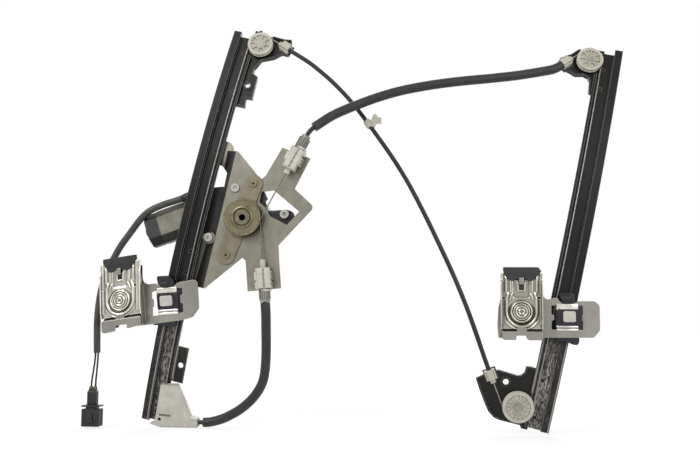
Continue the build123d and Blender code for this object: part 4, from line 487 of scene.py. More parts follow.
# ---------------------------------------------------------------- pulley brackets and rivets
# Injection-moulded brackets riveted behind the rails' ends, each with ribs round its rim and a
# pocket for the casing's ferrule. The rivets are coated over together with the rails.
RIVET_SPOTS = ((10.6, 40.5), (-20.7, -42.3))
RIVET_HOLLOW_SHADE = (1.3, 1.7)
RAIL_RIVETS_PAST = (-29, -31)
# Nylon, moulded and polished in the tool: black, glossier than the rails.
polished_nylon = surface("nylon_polished_black", "#22211f", "#121110", 16, (0.2, 0.36), 2.2, 0.03, soften=0.9,
                         edge_wear_and_highlight=0.6, IOR=1.53, **COATED)
# Electroplated steel: the gearbox screws' small bright heads, a little dulled.
zinc_plated = surface("zinc_plated_steel", "#b2afa8", "#8d8a83", 5, (0.28, 0.45), 0.7, 0.01, metallic=0.9)
paint(polished_nylon, "left_upper_bracket", "right_upper_bracket", "right_lower_bracket")
# E-coat over the rivets that hold the rails, as dark as the rails.
coated_steel = surface("e_coated_steel", "#232322", "#141414", 5, (0.28, 0.42), 0.7, 0.02, IOR=1.5, **COATED)
# Bare steel of the pulleys' pins, tarnished to the pulleys' own tone.
tarnished_steel = surface("tarnished_steel", "#9f9c8f", "#87847a", 4, (0.32, 0.45), 0.6, 0.01, metallic=0.7)
paint(zinc_plated, "housing_screws")
paint(tarnished_steel, "pulley_pins")
paint(coated_steel, "bracket_rivets")
# Passivated rivets join strap and plate: yellow, with painted shade in each hollow eye. Those on the rail are
# coated over.
yellow_rivet = tone_between(surface("yellow_zinc_rivet", "#857d62", "#6b644c", 4, (0.28, 0.42), 0.5, 0.01,
                                    metallic=0.85, soften=0.5), ACROSS, *RAIL_RIVETS_PAST, "#161615")
for spot in RIVET_SPOTS:
    tone_round(yellow_rivet, *spot, *RIVET_HOLLOW_SHADE, "#2b2922")
paint(yellow_rivet, "plate_rivets")

# ---------------------------------------------------------------- pulleys, ferrules and elbow guide
# Natural acetal, moulded: warm off-white pulleys with eight pockets, and the ferrules that end
# the casings. The lower left guide is a paler nylon elbow.
MILKY = {"Subsurface Weight": 0.08, "Subsurface Radius": (0.002, 0.002, 0.0015), "Subsurface Scale": 0.4}
natural_acetal = surface("acetal_moulded_natural", "#bebaae", "#aaa698", 9, (0.34, 0.48), 0.9, 0.02, IOR=1.48,
                         **MILKY)
white_nylon = surface("nylon_moulded_white", "#c6c3ba", "#b3afa5", 10, (0.36, 0.5), 0.9, 0.02, IOR=1.53, **MILKY)
paint(natural_acetal, "left_upper_pulley", "right_upper_pulley", "right_lower_pulley", "casing_ferrules",
      "casing_clip")
paint(white_nylon, "left_lower_cable_guide", "upper_adjuster_body", "lower_adjuster_body")

# ---------------------------------------------------------------- motor plate
# Pressed from galvanised sheet: warm grey with a faint cloudy spangle and fine roller lines.
galvanised = surface("galvanised_sheet", "#8a877b", "#77746a", 11, (0.3, 0.46), 0.9, 0.02, metallic=0.8,
                     stretch=(1, 1, 0.6), soften=0.6)
# The step beside the rail leans back; painted shade darkens its faces that look left and a band next to the rail,
# so it goes nearly black.
shade_facing(galvanised, -ACROSS, 0.25, 0.5, "#302e29", 0.8)
tone_between(galvanised, ACROSS, -31, -37, "#2e2c28", 0.82, within=(ALONG, 72, 58))
paint(galvanised, "motor_plate")

# ---------------------------------------------------------------- drum, its strap and shaft
# Drum and strap are yellow-passivated zinc on steel. The drum's face was turned, which leaves
# fine rings about its axis.


def ringed(finish, pitch, depth):
    """Adds the fine rings of a turned face about the drum's axis; sizes in millimetres."""
    tree = finish.node_tree
    relief = next(node for node in tree.nodes if node.type == "BUMP")
    reach = length_of(tree, mapped(tree, Scale=(1, 0, 1)))
    rings = combined(tree, "SINE", combined(tree, "MULTIPLY", reach, 2000 * pi / pitch))
    cut = add_node(tree, "ShaderNodeBump", {"Strength": 1.0, "Distance": depth * MM},
                   {"Height": rings, "Normal": relief.outputs["Normal"]}).outputs["Normal"]
    tree.links.new(cut, shader_of(finish).inputs["Normal"])
    return finish


# Turned face: dull yellow metal whose rings catch the light.
yellow_turned = ringed(surface("yellow_zinc_turned", "#827a62", "#6e6852", 8, (0.2, 0.32), 0.6, 0.006,
                               metallic=0.9, soften=0.5), 1.1, 0.004)
# Pressed sheet: the same yellow, greyer and rougher.
yellow_pressed = surface("yellow_zinc_pressed", "#857d6b", "#716a5a", 9, (0.3, 0.42), 0.8, 0.015,
                         metallic=0.85, soften=0.5)
# Ground steel: plain grey, fine and even.
ground_steel = surface("ground_steel", "#8f8d88", "#76746f", 6, (0.25, 0.38), 0.4, 0.005, metallic=1.0)
paint(yellow_turned, "cable_drum")
paint(yellow_pressed, "drum_strap")
paint(ground_steel, "output_shaft", "armature_shaft")

# ---------------------------------------------------------------- steel cables
# Seven-strand galvanised cable, 1.5 mm thick: its lay shows as fine slanting bands, drawn a
# little coarser than real.
stranded = surface("stranded_steel_cable", "#aaa79f", "#68655f", 0.9, (0.3, 0.5), 0.5, 0.08, metallic=0.9,
                   stretch=(1, 1, 0.6), soften=0.1)
paint(stranded, "left_rail_cable", "right_rail_cable")
# The same cable near the drum, where grease turns it grey.
greased = surface("greased_steel_cable", "#8d8a82", "#4c4a45", 0.9, (0.3, 0.5), 0.5, 0.08, metallic=0.8,
                  stretch=(1, 1, 0.6), soften=0.1)
paint(greased, "drum_cables")

# ---------------------------------------------------------------- cable adjusters
# A clipped nylon body and a grey ribbed tube with a steel spring inside, one on each strand.
# Grey nylon, moulded: matt and slightly cloudy.
grey_nylon = surface("nylon_moulded_grey", "#95938c", "#7c7a74", 6, (0.4, 0.55), 0.7, 0.03, IOR=1.53)
# Spring steel: dark oily wire.
spring_wire = surface("spring_steel_wire", "#6f6d69", "#4f4e4b", 3, (0.25, 0.4), 0.5, 0.01, metallic=1.0,
                      soften=0.1)
paint(grey_nylon, "upper_adjuster_tube", "lower_adjuster_tube")
paint(spring_wire, "adjuster_springs")

# ---------------------------------------------------------------- casings and sleeves
# Polyethylene-covered Bowden casings, with a loose PVC sleeve over the two shorter ones.
# Polyethylene: black, with a soft waxy shine.
casing_cover = surface("polyethylene_casing_cover", "#1f1f1e", "#151514", 12, (0.26, 0.38), 1.4, 0.02, IOR=1.51,
                       **DULL)
# Loose PVC: a little greyer and duller than the casing inside it.
loose_sleeve = surface("pvc_loose_sleeve", "#2b2b29", "#1d1d1c", 18, (0.34, 0.5), 1.6, 0.06, IOR=1.53, **DULL)
paint(casing_cover, "cross_casing", "upper_casing", "lower_casing")
paint(loose_sleeve, "upper_casing_sleeve", "lower_casing_sleeve")

# ---------------------------------------------------------------- gearbox
# Glass-filled nylon housing and cover over a pale moulded worm wheel with its rubber damper.
# Nitrile rubber: black, with hardly a highlight.
damper_rubber = surface("nitrile_rubber", "#2c2c2c", "#1c1c1c", 6, (0.6, 0.75), 0.8, 0.04, IOR=1.52)
paint(moulded_nylon, "gear_housing", "gear_cover", "brush_holder")
paint(white_nylon, "worm_wheel")
paint(damper_rubber, "wheel_damper")

# ---------------------------------------------------------------- motor
# A deep-drawn yoke in dull zinc with a dark moulded end cap; magnets, armature and brushes inside.
# Drawn zinc: grey satin, with painted shade on the faces that look down.
drawn_zinc = surface("drawn_zinc_yoke", "#7f7c71", "#67655b", 12, (0.34, 0.5), 1.0, 0.02, metallic=0.75,
                     soften=0.5)
# Moulded polyester: charcoal, with painted shade making it nearly black underneath.
cap_moulding = surface("polyester_moulded_dark", "#343434", "#262627", 10, (0.36, 0.5), 0.8, 0.03, soften=0.6,
                       IOR=1.56, **DULL)
# Ferrite: matt, bluish grey.
sintered_ferrite = surface("sintered_ferrite", "#48474a", "#333235", 4, (0.6, 0.75), 0.5, 0.03)
# Lacquered sheets: brown grey, in fine layers along the stack.
stacked_iron = surface("lacquered_iron_stack", "#6a6560", "#4a4642", 2, (0.4, 0.55), 0.5, 0.03, metallic=0.8,
                       stretch=(3, 1, 3))
# Copper: warm orange and shiny.
drawn_copper = surface("drawn_copper", "#b87348", "#9c5c38", 3, (0.25, 0.4), 0.5, 0.01, metallic=1.0)
# Carbon: matt, almost black.
pressed_carbon = surface("pressed_carbon", "#3b3a39", "#262524", 2, (0.6, 0.75), 0.4, 0.03)
# Bronze: dull yellow brown.
sintered_bronze = surface("sintered_bronze", "#a8824f", "#86653a", 2, (0.4, 0.55), 0.4, 0.02, metallic=1.0)
shade_facing(drawn_zinc, (0, 0, -1), 0.1, 0.6, "#3d3c37", 0.8)
shade_facing(cap_moulding, (0, 0, -1), 0.1, 0.6, "#161514", 0.8)
paint(drawn_zinc, "motor_can")
paint(cap_moulding, "motor_end_cap")
paint(sintered_ferrite, "field_magnets")
paint(stacked_iron, "armature_core")
paint(drawn_copper, "commutator")
paint(pressed_carbon, "brushes")
paint(sintered_bronze, "armature_bushes")

# ---------------------------------------------------------------- glass carriers
# Bright zinc plates ride on black nylon sliders. Each clamps the glass between rubber pads, under
# a pressed jaw with a dished boss round its bolt.
# Bright zinc: pale sheet with soft clouds, almost a mirror where it is bent.
bright_zinc = surface("bright_zinc_pressed", "#9b9891", "#82807a", 46, (0.3, 0.35), 1.4, 0.002, metallic=0.9,
                      stretch=(1, 1, 0.6), soften=0.6, edge_wear_and_highlight=0.8, corner_shade=0.2)
# Drawn zinc with painted light: crowns painted brighter as a highlight, valleys painted darker as shade. The left
# jaw is the lit copy, painted brighter than the right.
drawn_jaws = {
    "left": surface("bright_zinc_drawn_left_lit", "#c9c6bd", "#aba89f", 16, (0.14, 0.24), 1.4, 0.003, metallic=1.0,
                    soften=0.3, edge_wear_and_highlight=0.6, corner_shade=0.7),
    "right": surface("bright_zinc_drawn_right_shaded", "#aba89f", "#908d84", 16, (0.14, 0.24), 1.4, 0.003, metallic=1.0,
                     soften=0.3, edge_wear_and_highlight=0.6, corner_shade=0.8),
}
# Rolled zinc: the tabs' outer bend, stretched and shiny, painted pale as a highlight, the lightest metal on the
# part.
highlit_rolled_zinc = surface("bright_zinc_rolled_highlit", "#e2dfd8", "#c4c1b8", 12, (0.14, 0.22), 1.4, 0.002, metallic=1.0,
                      soften=0.5, edge_wear_and_highlight=0.3, corner_shade=0.5)
# Nylon soaked in slide grease: violet black, wet-looking.
slider_nylon = surface("oiled_nylon_black", "#1f1e26", "#100f16", 8, (0.2, 0.34), 1.5, 0.02, soften=0.6,
                       IOR=1.53, **DULL)
# Moulded rubber: dark grey with a faint bloom.
moulded_rubber = surface("epdm_rubber_moulded", "#333332", "#242424", 12, (0.42, 0.58), 0.9, 0.02, soften=0.6,
                         edge_wear_and_highlight=0.15, IOR=1.52, **DULL)

PLATE_BACK, PLATE_FRONT = 11.0, 12.5
PAD_BACK, PAD_FRONT = 12.6, 13.7
SLOT_FRONT = 20.3
JAW_BACK, JAW_FRONT = 21.55, 23.05
JAW_STEEL = 1.3
JAW_BEND = 1.3
JAW_WALL = 1.8
JAW_LOW = -13.5
JAW_STEP = 0.5
JAW_RIM = (35, 41)
BOLT_HOLE_SQUARED = 14
NOTCH_INNER, NOTCH_OUTER, NOTCH_UP, NOTCH_HALF = 17.6, 20.4, 15.0, 1.1
MOUTH_DEPTH, MOUTH_RISE, MOUTH_FLAT, MOUTH_RUN = 9.0, 7.5, 12.3, 7.0
BOLT_PROFILE = [
    (0, -17.0), (3.5, -17.0), (3.5, 1.1), (9.0, 1.1), (9.2, 1.5), (8.4, 1.9), (7.6, 1.3), (6.8, 1.4), (6.2, 2.7),
    (5.4, 2.9), (4.7, 1.9), (3.9, 1.8), (3.2, 2.8), (2.5, 2.9), (1.8, 2.0), (0.9, 1.9), (0, 2.3),
]
CROWN_BEND, CROWN_LIGHT_AND_SHADE = (0.465, 0.535), (0.38, 1.5)
LIP_TOP = -16.1
BOLT_ACROSS, BOLT_UP = -52.5, 5.0
SLOT_LOW, SLOT_HIGH, SLOT_HALF = 28.5, 35.6, 2.75


def paint_light_on_crowns(finish):
    """Paints a highlight onto the crowns of a finely meshed pressing and shade into its valleys."""
    tree, colour = finish.node_tree, shader_of(finish).inputs["Base Color"]
    bend = add_node(tree, "ShaderNodeNewGeometry").outputs["Pointiness"]
    tone = ranged(tree, bend, *CROWN_BEND, *CROWN_LIGHT_AND_SHADE)
    tree.links.new(mixed(tree, 1.0, colour.links[0].from_socket, tone, "MULTIPLY"), colour)


for drawn_jaw in drawn_jaws.values():
    paint_light_on_crowns(drawn_jaw)


def eased(value, start, end):
    """Smooth step from 0 to 1 between two values."""
    share = min(max((value - start) / (end - start), 0.0), 1.0)
    return share * share * (3 - 2 * share)


def ridge(distance, half_width):
    """Height of a rounded ridge at a distance from its crest, from 0 to 1."""
    return 0.5 + 0.5 * cos(pi * min(abs(distance) / half_width, 1.0))


def rounded(outline, radius, steps=4):
    """The outline with its corners rounded."""
    made = []
    for before, corner, after in zip(outline[-1:] + outline[:-1], outline, outline[1:] + outline[:1]):
        before, corner, after = Vector(before), Vector(corner), Vector(after)
        start = corner + (before - corner).normalized() * min(radius, (before - corner).length / 2)
        end = corner + (after - corner).normalized() * min(radius, (after - corner).length / 2)
        for step in range(steps + 1):
            share = step / steps
            made.append(tuple(start * (1 - share) ** 2 + corner * 2 * share * (1 - share) + end * share ** 2))
    return made


def stamped(shapes, outlines, low, high, soft=0.3):
    """Adds a flat piece between two heights, cut to its outlines, with its edges rounded over."""
    data = bpy.data.curves.new("outline", "CURVE")
    data.dimensions = "2D"
    data.fill_mode = "BOTH"
    data.extrude = (high - low) / 2 - soft
    data.bevel_depth = soft
    data.bevel_resolution = 2
    data.offset = -soft
    for outline in outlines:
        spline = data.splines.new("POLY")
        spline.points.add(len(outline) - 1)
        for point, spot in zip(spline.points, outline):
            point.co = (*spot, 0, 1)
        spline.use_cyclic_u = True
    holder = bpy.data.objects.new("outline", data)
    mesh = bpy.data.meshes.new_from_object(holder)
    mesh.transform(Matrix.Translation((0, 0, (low + high) / 2)))
    shapes.from_mesh(mesh)
    bmesh.ops.remove_doubles(shapes, verts=shapes.verts, dist=0.001)
    bpy.data.objects.remove(holder)
    bpy.data.curves.remove(data)
    bpy.data.meshes.remove(mesh)


def box_outline(left, right, low, high):
    """The four corners of a rectangle."""
    return [(left, low), (right, low), (right, high), (left, high)]


def pressed_height(u, v):
    """Relief of the jaw's front at a place measured from the bolt, in millimetres."""
    reach = (u * u + v * v) ** 0.5
    boss = 1.8 * ridge(reach - 10.8, 2.3)
    moat = -0.9 * ridge(reach - 13.3, 1.5) * (1 - eased(v, 6, 12))
    side = abs(u) if v > 0 else reach
    splay = 3.5 * eased(v, 13, 19)
    bead = 1.5 * ridge(side - 16.0 + splay * 0.4, 2.8) * (1 - eased(v, 19, 23))
    neck = 1.2 * ridge(abs(u) - 10.6 + 0.35 * (v - 18), 1.7) * eased(v, 11, 14) * (1 - eased(v, 18, 21))
    flutes = (1.1 * ridge(abs(u) - 11.6, 1.8) + 1.2 * ridge(abs(u) - 16.4, 1.9)) * eased(v, 19, 22)
    shoulder = 1.3 * eased(abs(u), 18.6, 20.4) * eased(v, -16, -12)
    pocket = -1.2 * (1 - eased(abs(u), 7.4, 9.2)) * eased(v, 13.5, 16.5)
    frame_line = 0.9 * ridge(max(abs(u) - 4.0, abs(v - 27.0) - 4.4, 0.0), 1.4)
    smile = 0.9 * ridge(reach - 19.6, 1.5) * (1 - eased(v, -13, -8))
    return max(boss, bead, neck, flutes * (1 - eased(v, 36, 40)), shoulder, smile, frame_line) + moat + pocket


def pressed_jaw(side, at, left, right, high):
    """The clamp's jaw: one pressed sheet with turned sides, a boss, beads and a slot."""
    arc = JAW_BEND * pi / 2
    flat = right - left - 2 * JAW_BEND
    sheet_width = 2 * JAW_WALL + 2 * arc + flat
    shapes = bmesh.new()
    bmesh.ops.create_grid(shapes, x_segments=round(sheet_width / JAW_STEP),
                          y_segments=round((high - JAW_LOW) / JAW_STEP), size=0.5)
    for corner in shapes.verts:
        run = (corner.co.x + 0.5) * sheet_width
        up = JAW_LOW + (corner.co.y + 0.5) * (high - JAW_LOW)
        mirror_run = min(run, sheet_width - run)
        if mirror_run < JAW_WALL:
            inset, rise = 0.0, JAW_BEND + JAW_WALL - mirror_run
        elif mirror_run < JAW_WALL + arc:
            angle = (mirror_run - JAW_WALL) / JAW_BEND
            inset, rise = JAW_BEND * (1 - cos(angle)), JAW_BEND * (1 - sin(angle))
        else:
            inset, rise = mirror_run - JAW_WALL - arc + JAW_BEND, 0.0
        across = left + inset if run < sheet_width / 2 else right - inset
        kept = 0.25 + 0.75 * (1 - eased(up, *JAW_RIM))
        corner.co = (across, up, rise * kept + pressed_height(across - BOLT_ACROSS, up - BOLT_UP))
    gone = []
    for face in shapes.faces:
        spot = face.calc_center_median()
        beside = abs(spot.x - BOLT_ACROSS)
        in_slot = beside < SLOT_HALF and SLOT_LOW < spot.y < SLOT_HIGH
        in_notch = NOTCH_INNER < beside < NOTCH_OUTER and abs(spot.y - BOLT_UP - NOTCH_UP) < NOTCH_HALF
        under_bolt = beside ** 2 + (spot.y - BOLT_UP) ** 2 < BOLT_HOLE_SQUARED
        mouth_share = min(max(beside - MOUTH_FLAT, 0) / MOUTH_RUN, 1.0)
        in_mouth = spot.y > high - MOUTH_DEPTH + MOUTH_RISE * mouth_share
        if in_slot or in_notch or under_bolt or in_mouth:
            gone.append(face)
    bmesh.ops.delete(shapes, geom=gone, context="FACES")
    bmesh.ops.solidify(shapes, geom=shapes.faces[:], thickness=JAW_STEEL)
    piece = join_parts(f"{side}_jaw", shapes, drawn_jaws[side], f"{side}_carrier",
                       at=at @ Matrix.Translation((0, 0, JAW_FRONT)))
    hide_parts(f"{side}_clamp_plate")

    screw = bmesh.new()
    turned(screw, BOLT_PROFILE, steps=64)
    screw_piece = join_parts(f"{side}_bolt", screw, drawn_jaws[side], f"{side}_carrier",
                             at=at @ Matrix.Translation((BOLT_ACROSS, BOLT_UP, JAW_FRONT)))
    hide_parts(f"{side}_clamp_bolt")

    # The slot's tongue is bent up over the pad's fold and holds it.
    tongue = bmesh.new()
    rounded_box(tongue, (BOLT_ACROSS - 2.5, SLOT_HIGH - 1.2, 0.1), (BOLT_ACROSS + 2.5, SLOT_HIGH + 0.2, 3.0), 0.4)
    rounded_box(tongue, (BOLT_ACROSS - 2.5, SLOT_HIGH - 1.0, 1.9), (BOLT_ACROSS + 2.5, SLOT_HIGH + 6.4, 3.0), 0.5)
    join_parts(f"{side}_jaw_tongue", tongue, bright_zinc, f"{side}_carrier",
               at=at @ Matrix.Translation((0, 0, JAW_FRONT)))


def glass_pad(side, at, left, right, high):
    """Folded rubber pad: two lips with the glass between them, and a flap over the jaw's top."""
    crown = high + 5.0
    shapes = bmesh.new()
    stamped(shapes, [rounded(box_outline(left + 1, right - 1, LIP_TOP + 0.3, high - 8), 1.5)], PAD_BACK, PAD_FRONT)
    rounded_box(shapes, (left + 1, LIP_TOP + 0.2, PAD_BACK), (right - 1, LIP_TOP + 1.6, JAW_BACK - 0.2), 0.4)
    stamped(shapes, [rounded(box_outline(left + 2.4, right - 4.4, LIP_TOP + 0.3, crown), 1.2)],
            SLOT_FRONT, JAW_BACK - 0.2)
    flap = [(-19.4, crown - BOLT_UP), (18.2, crown - BOLT_UP), (21.6, crown - BOLT_UP - 4.6), (12.2, 33.3),
            (7.2, 33.3), (5.8, 34.9), (-6.6, 34.9), (-7.8, 33.3), (-12.5, 33.3), (-19.4, crown - BOLT_UP - 4.8)]
    flap = [(across + BOLT_ACROSS, up + BOLT_UP) for across, up in flap]
    stamped(shapes, [rounded(flap, 1.2)], SLOT_FRONT + 0.4, JAW_FRONT + 1.6, soft=0.7)
    piece = join_parts(f"{side}_pad", shapes, moulded_rubber, f"{side}_carrier", at=at)
    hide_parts(f"{side}_glass_pad")


def carrier_plate(side, place, at, back, window, tabs, lip, shelf, wall):
    """The carrier's plate with its notched window, rolled tabs and turned-up lip."""
    shapes = bmesh.new()
    stamped(shapes, [back, window], PLATE_BACK, PLATE_FRONT)
    rounded_box(shapes, (wall[0], wall[1], PLATE_BACK), (wall[0] + 1.5, wall[2], wall[3]), 0.6)
    shapes.transform(place)
    lip_shapes = bmesh.new()
    stamped(lip_shapes, [lip], JAW_FRONT + 1.7, JAW_FRONT + 3.2)
    rounded_box(lip_shapes, (shelf[0], LIP_TOP - 1.5, PLATE_BACK), (shelf[1], LIP_TOP, JAW_FRONT + 3.0), 0.4)
    hook = box_outline(BOLT_ACROSS - 5.4, BOLT_ACROSS + 5.4, LIP_TOP - 3.2, JAW_LOW + 2)
    stamped(lip_shapes, [rounded(hook, 2.0)], JAW_FRONT, JAW_FRONT + 1.5)
    lip_shapes.transform(at)
    joined = bpy.data.meshes.new("lip")
    lip_shapes.to_mesh(joined)
    lip_shapes.free()
    shapes.from_mesh(joined)
    bpy.data.meshes.remove(joined)
    piece = join_parts(f"{side}_plate", shapes, bright_zinc, f"{side}_carrier", smooth=False)
    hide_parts(f"{side}_carrier_plate")

    rolled = bmesh.new()
    for low, high in tabs[2:]:
        rounded_box(rolled, (tabs[0], low, PLATE_BACK - 1.0), (tabs[1], high, PLATE_FRONT + 1.9), 1.3)
    join_parts(f"{side}_rolled_tabs", rolled, highlit_rolled_zinc, f"{side}_carrier", at=place)


def carrier_block(side, place, left, right):
    """The pale block in the window that holds the cable's end."""
    shapes = bmesh.new()
    corners = [(left, -4.6), (left + 1.6, -6), (right - 1.6, -6), (right, -4.6), (right, 4.6), (right - 1.6, 6),
               (left + 1.6, 6), (left, 4.6)]
    stamped(shapes, [rounded(corners, 0.8)], PLATE_FRONT - 0.4, PLATE_FRONT + 4.4, soft=0.8)
    piece = join_parts(f"{side}_block", shapes, white_nylon, f"{side}_carrier", at=place)
    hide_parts(f"{side}_cable_block")


# Each side's places and outlines, in millimetres across the rail and up it from the carrier's middle.
RIGHT_PLACE = on_rail(-28.4, 379.6, 0, radians(12.4))
RIGHT_CLAMP = (-73.7, -31.2, 48.3)
LEFT_PLACE = on_rail(-111.6, -69.9, 0, radians(16.8))
LEFT_CLAMP = (-74.0, -27.6, 49.6)
LEFT_SHIFT, LEFT_SKEW, LEFT_LEAN = 3.2, 0.075, 0.062
LEFT_TILT = LEFT_PLACE @ Matrix(((1, LEFT_LEAN, 0, LEFT_SHIFT - LEFT_LEAN * BOLT_UP),
                                 (LEFT_SKEW, 1, 0, -LEFT_SKEW * BOLT_ACROSS), (0, 0, 1, 0), (0, 0, 0, 1)))
RIGHT_BACK = [
    (-72.5, 42.3), (-29.5, 42.3), (-29.5, 27.0), (-27.4, 20.6), (-23.6, 18.2), (-17.4, 20.1), (-13.0, 21.0),
    (-11.2, 16.9), (-5.9, 14.2), (2.0, 14.2), (6.0, 15.5), (9.1, 16.9), (26.8, 16.9), (31.6, 12.6), (31.7, -14.6),
    (25.0, -22.6), (-28.5, -23.1), (-28.5, -25.0), (-46.6, -25.0), (-46.6, -20.4), (-58.6, -20.4), (-58.6, -25.0),
    (-77.0, -24.0), (-77.9, -10.0), (-76.8, 9.0), (-73.6, 22.0),
]
RIGHT_WINDOW = [
    (-19.6, 11.9), (-15.2, 11.9), (-15.2, 13.2), (9.4, 13.2), (9.4, 11.9), (13.5, 11.9), (13.5, 2.4), (10.4, 1.0),
    (10.4, -3.5), (13.5, -4.9), (13.5, -14.0), (9.4, -14.0), (9.4, -14.6), (-15.2, -14.6), (-15.2, -14.0),
    (-19.6, -14.0), (-19.6, -4.9), (-16.5, -3.5), (-16.5, 1.0), (-19.6, 2.4),
]
RIGHT_LIP = [
    (-73.7, -16.6), (-30.5, -16.6), (-30.5, -25.4), (-46.6, -25.4), (-46.6, -20.6), (-58.6, -20.6),
    (-58.6, -25.4), (-72.6, -25.4),
]
LEFT_BACK = [
    (-74.5, 41.5), (-24.0, 41.5), (-24.6, 28.0), (-22.7, 22.6), (-18.5, 20.6), (-8.4, 21.0), (-6.0, 18.0),
    (0.3, 14.9), (9.0, 14.9), (13.5, 17.9), (18.0, 20.3), (38.2, 22.0), (41.2, 18.5), (40.4, -11.4),
    (32.1, -21.2), (18.1, -23.8), (-28.5, -26.6), (-43.6, -26.6), (-43.6, -21.0), (-57.6, -21.0), (-57.6, -27.5),
    (-76.0, -27.5), (-75.4, 10.0),
]
LEFT_WINDOW = [
    (-14.6, 11.0), (-10.0, 12.2), (-8.8, 14.6), (16.4, 15.0), (16.4, 13.4), (21.8, 13.4), (21.8, 6.1),
    (18.4, 4.6), (18.4, -3.4), (21.2, -4.7), (21.2, -14.7), (16.6, -14.9), (16.6, -15.8), (-8.4, -15.8),
    (-9.0, -16.2), (-15.6, -16.2), (-15.0, -7.0), (-13.4, -5.6), (-13.2, 2.4), (-15.0, 4.0),
]
LEFT_LIP = [
    (-74.5, -16.6), (-26.5, -16.6), (-26.5, -26.6), (-43.6, -28.6), (-43.6, -23.4), (-57.6, -23.4),
    (-57.6, -29.6), (-72.0, -30.4), (-74.5, -28.0),
]
RIGHT_TABS = (-14.8, 9.0, (6.6, 14.4), (-12.2, -9.4), (-15.6, -12.5))
LEFT_TABS = (-8.4, 16.0, (8.6, 15.8), (-12.6, -9.6), (-16.4, -13.0))
RIGHT_BLOCK, LEFT_BLOCK = (-7.7, 5.8), (-4.6, 10.4)
RIGHT_WALL, LEFT_WALL = (-31.0, -24.5, 30.0, 21.4), (-26.2, -25.0, 36.0, 21.4)
for side, place, at, clamp, back, window, tabs, lip, block, wall in (
        ("right", RIGHT_PLACE, RIGHT_PLACE, RIGHT_CLAMP, RIGHT_BACK, RIGHT_WINDOW, RIGHT_TABS, RIGHT_LIP,
         RIGHT_BLOCK, RIGHT_WALL),
        ("left", LEFT_PLACE, LEFT_TILT, LEFT_CLAMP, LEFT_BACK, LEFT_WINDOW, LEFT_TABS, LEFT_LIP,
         LEFT_BLOCK, LEFT_WALL)):
    pressed_jaw(side, at, *clamp)
    glass_pad(side, at, *clamp)
    carrier_plate(side, place, at, rounded(back, 2.2), rounded(window, 0.7), tabs, rounded(lip, 1.6),
                  (clamp[0], clamp[1]), wall)
    carrier_block(side, place, *block)

# Each slider is a shoe behind its plate, with a frame in the window, a lug hooked over the arm's
# upper edge and a foot under the lower one.
RIGHT_SHOE, LEFT_SHOE = (-15.0, 14.6), (-9.2, 22.8)
RIGHT_RING, LEFT_RING = (-13.4, 13.0), (-8.6, 17.6)
RIGHT_LUG = [(-10.8, 25.8), (4.2, 25.8), (5.6, 15.6), (2.8, 14.6), (-6.4, 14.6), (-9.8, 17.4)]
LEFT_LUG = [(-6.7, 29.2), (6.0, 28.8), (12.6, 25.5), (14.0, 19.6), (9.4, 15.2), (0.3, 15.0), (-5.6, 18.6)]
RIGHT_FOOT = [(-14, -21), (9.8, -21), (10.0, -27.5), (8.0, -31.0), (3.0, -30.4), (-4.0, -27.4), (-14, -26.0)]
LEFT_FOOT = [(-17.5, -24.0), (9.0, -21.5), (10.5, -30.5), (4.0, -31.0), (-6.0, -28.5), (-17.5, -27.0)]
for side, place, shoe, ring, lug, foot in (
        ("right", RIGHT_PLACE, RIGHT_SHOE, RIGHT_RING, RIGHT_LUG, RIGHT_FOOT),
        ("left", LEFT_PLACE, LEFT_SHOE, LEFT_RING, LEFT_LUG, LEFT_FOOT)):
    shapes = bmesh.new()
    rounded_box(shapes, (shoe[0], -18.5, 3.4), (shoe[1], 14.0, 10.8), 0.8)
    stamped(shapes, [rounded(box_outline(*ring, -10.6, 9.2), 1.2)], 10.4, 12.9, soft=0.8)
    stamped(shapes, [rounded(box_outline(ring[0] + 2.6, ring[1] - 1.0, -8.6, 8.2), 1.0)], 12.0, 14.6, soft=0.6)
    for post in (ring[0] + 1.6, ring[1] - 1.6):
        rounded_box(shapes, (post - 1.1, -8.4, 12.0), (post + 1.1, 8.4, 15.6), 0.5)
    stamped(shapes, [rounded(lug, 2.6)], 8.6, 15.4, soft=0.9)
    rounded_box(shapes, (lug[0][0] + 3.0, 19.6, 15.0), (lug[0][0] + 11.0, 21.2, 15.9), 0.35)
    stamped(shapes, [rounded(foot, 2.0)], 5.0, 10.9, soft=0.8)
    piece = join_parts(f"{side}_shoe", shapes, slider_nylon, f"{side}_carrier", at=place)
    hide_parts(f"{side}_slider")

# ---------------------------------------------------------------- housing's web, lug and side case
# The gearbox reaches past the plate: a web round the ear's screw, a lug in the window's corner, and
# a case with a raised rim between rail and plate.
ON_PLATE = facing((0, 0, 0), (1, 0, 0), (0, -1, 0))
EAR_WEB = [(24, 9.6), (49, 10.6), (55.4, 8.2), (57.6, 1.6), (56.6, -4.4), (50.6, -11.0), (24, -5)]
CORNER_LUG = [(17, 32), (21.6, 32.6), (25.4, 23.6), (22.6, 21.4), (25.6, 13.0), (15, 11)]
SIDE_CASE = [(-52, 39.4), (-26.5, 41.2), (-26.5, -16.0), (-46.0, -17.6), (-62, -17.6)]
CASE_RIM = [(-48, 35.0), (-30.5, 35.0), (-36.5, -12.6), (-58, -12.6)]
RIM_INSIDE = [(-46.4, 33.4), (-32.2, 33.4), (-37.8, -11.0), (-56, -11.0)]
web = bmesh.new()
stamped(web, [rounded(EAR_WEB, 2.4)], -12.6, -6.0, soft=0.8)
stamped(web, [rounded(CORNER_LUG, 1.4)], -12.0, -5.0, soft=0.8)
join_parts("housing_web", web, moulded_nylon, "rails", at=ON_PLATE)

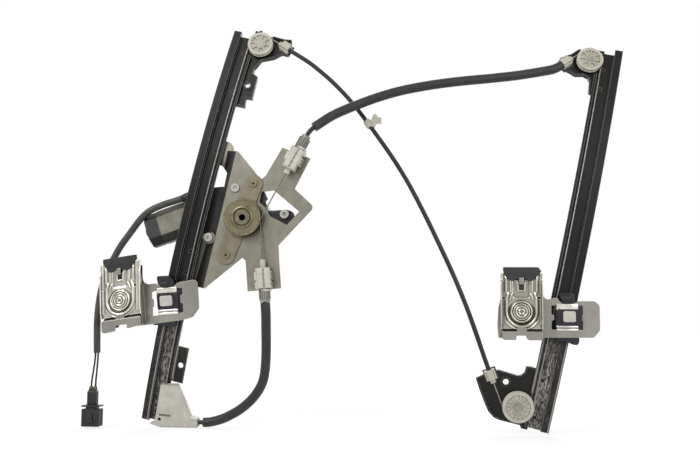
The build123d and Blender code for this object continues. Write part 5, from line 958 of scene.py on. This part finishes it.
case = bmesh.new()
stamped(case, [rounded(SIDE_CASE, 4.0)], -32.0, -16.6, soft=1.0)
stamped(case, [rounded(CASE_RIM, 5.0), rounded(RIM_INSIDE, 3.8)], -17.0, -15.8, soft=0.4)
join_parts("housing_side_case", case, moulded_nylon, "rails", at=ON_PLATE)

# ---------------------------------------------------------------- adjusters' clips
# Two rounded jaws close over each adjuster's body, with a grey strip of painted shade in the gap between them along
# the strand.
STRAND_REACH = 20.35
CLIP_GAP = 0.8
RIBS, RIB_START, RIB_PITCH, RIB_WIDTH, RIB_HEIGHT = 4, 3.2, 5.6, 2.6, 0.7
for name, angle, front, start, end, half in (("upper", 61.0, 16.0, 75.0, 99.6, 6.8),
                                             ("lower", -85.5, 12.2, 59.8, 82.8, 7.6)):
    turn = radians(angle)
    outward = Vector((sin(turn), 0, -cos(turn))) * (1 if angle > 0 else -1)
    at = facing(outward * STRAND_REACH - Vector((0, front, 0)), (cos(turn), 0, sin(turn)), (0, -1, 0))
    clip = bmesh.new()
    for low, high in ((-half, -CLIP_GAP), (CLIP_GAP, half)):
        rounded_box(clip, (start, low, -3.0), (end, high, 1.2), 1.1)
        for step in range(RIBS):
            rib = start + RIB_START + step * RIB_PITCH
            rounded_box(clip, (rib, low - RIB_HEIGHT, -3.0), (rib + RIB_WIDTH, high + RIB_HEIGHT, 0.3), 0.7)
    join_parts(f"{name}_adjuster_clip", clip, white_nylon, "rails", at=at)
    slit_shade = bmesh.new()
    rounded_box(slit_shade, (start + 0.6, -0.9, -2.0), (end - 0.4, 0.9, 0.15), 0.2)
    join_parts(f"{name}_adjuster_slit_shade", slit_shade, grey_nylon, "rails", at=at)
    collar = bmesh.new()
    bmesh.ops.create_cone(collar, cap_ends=True, segments=40, radius1=7.0, radius2=6.4, depth=2.6,
                          matrix=Matrix.Translation((end + 2.2, 0, -7.0)) @ Matrix.Rotation(pi / 2, 4, "Y"))
    join_parts(f"{name}_adjuster_collar", collar, white_nylon, "rails", at=at, smooth=False)
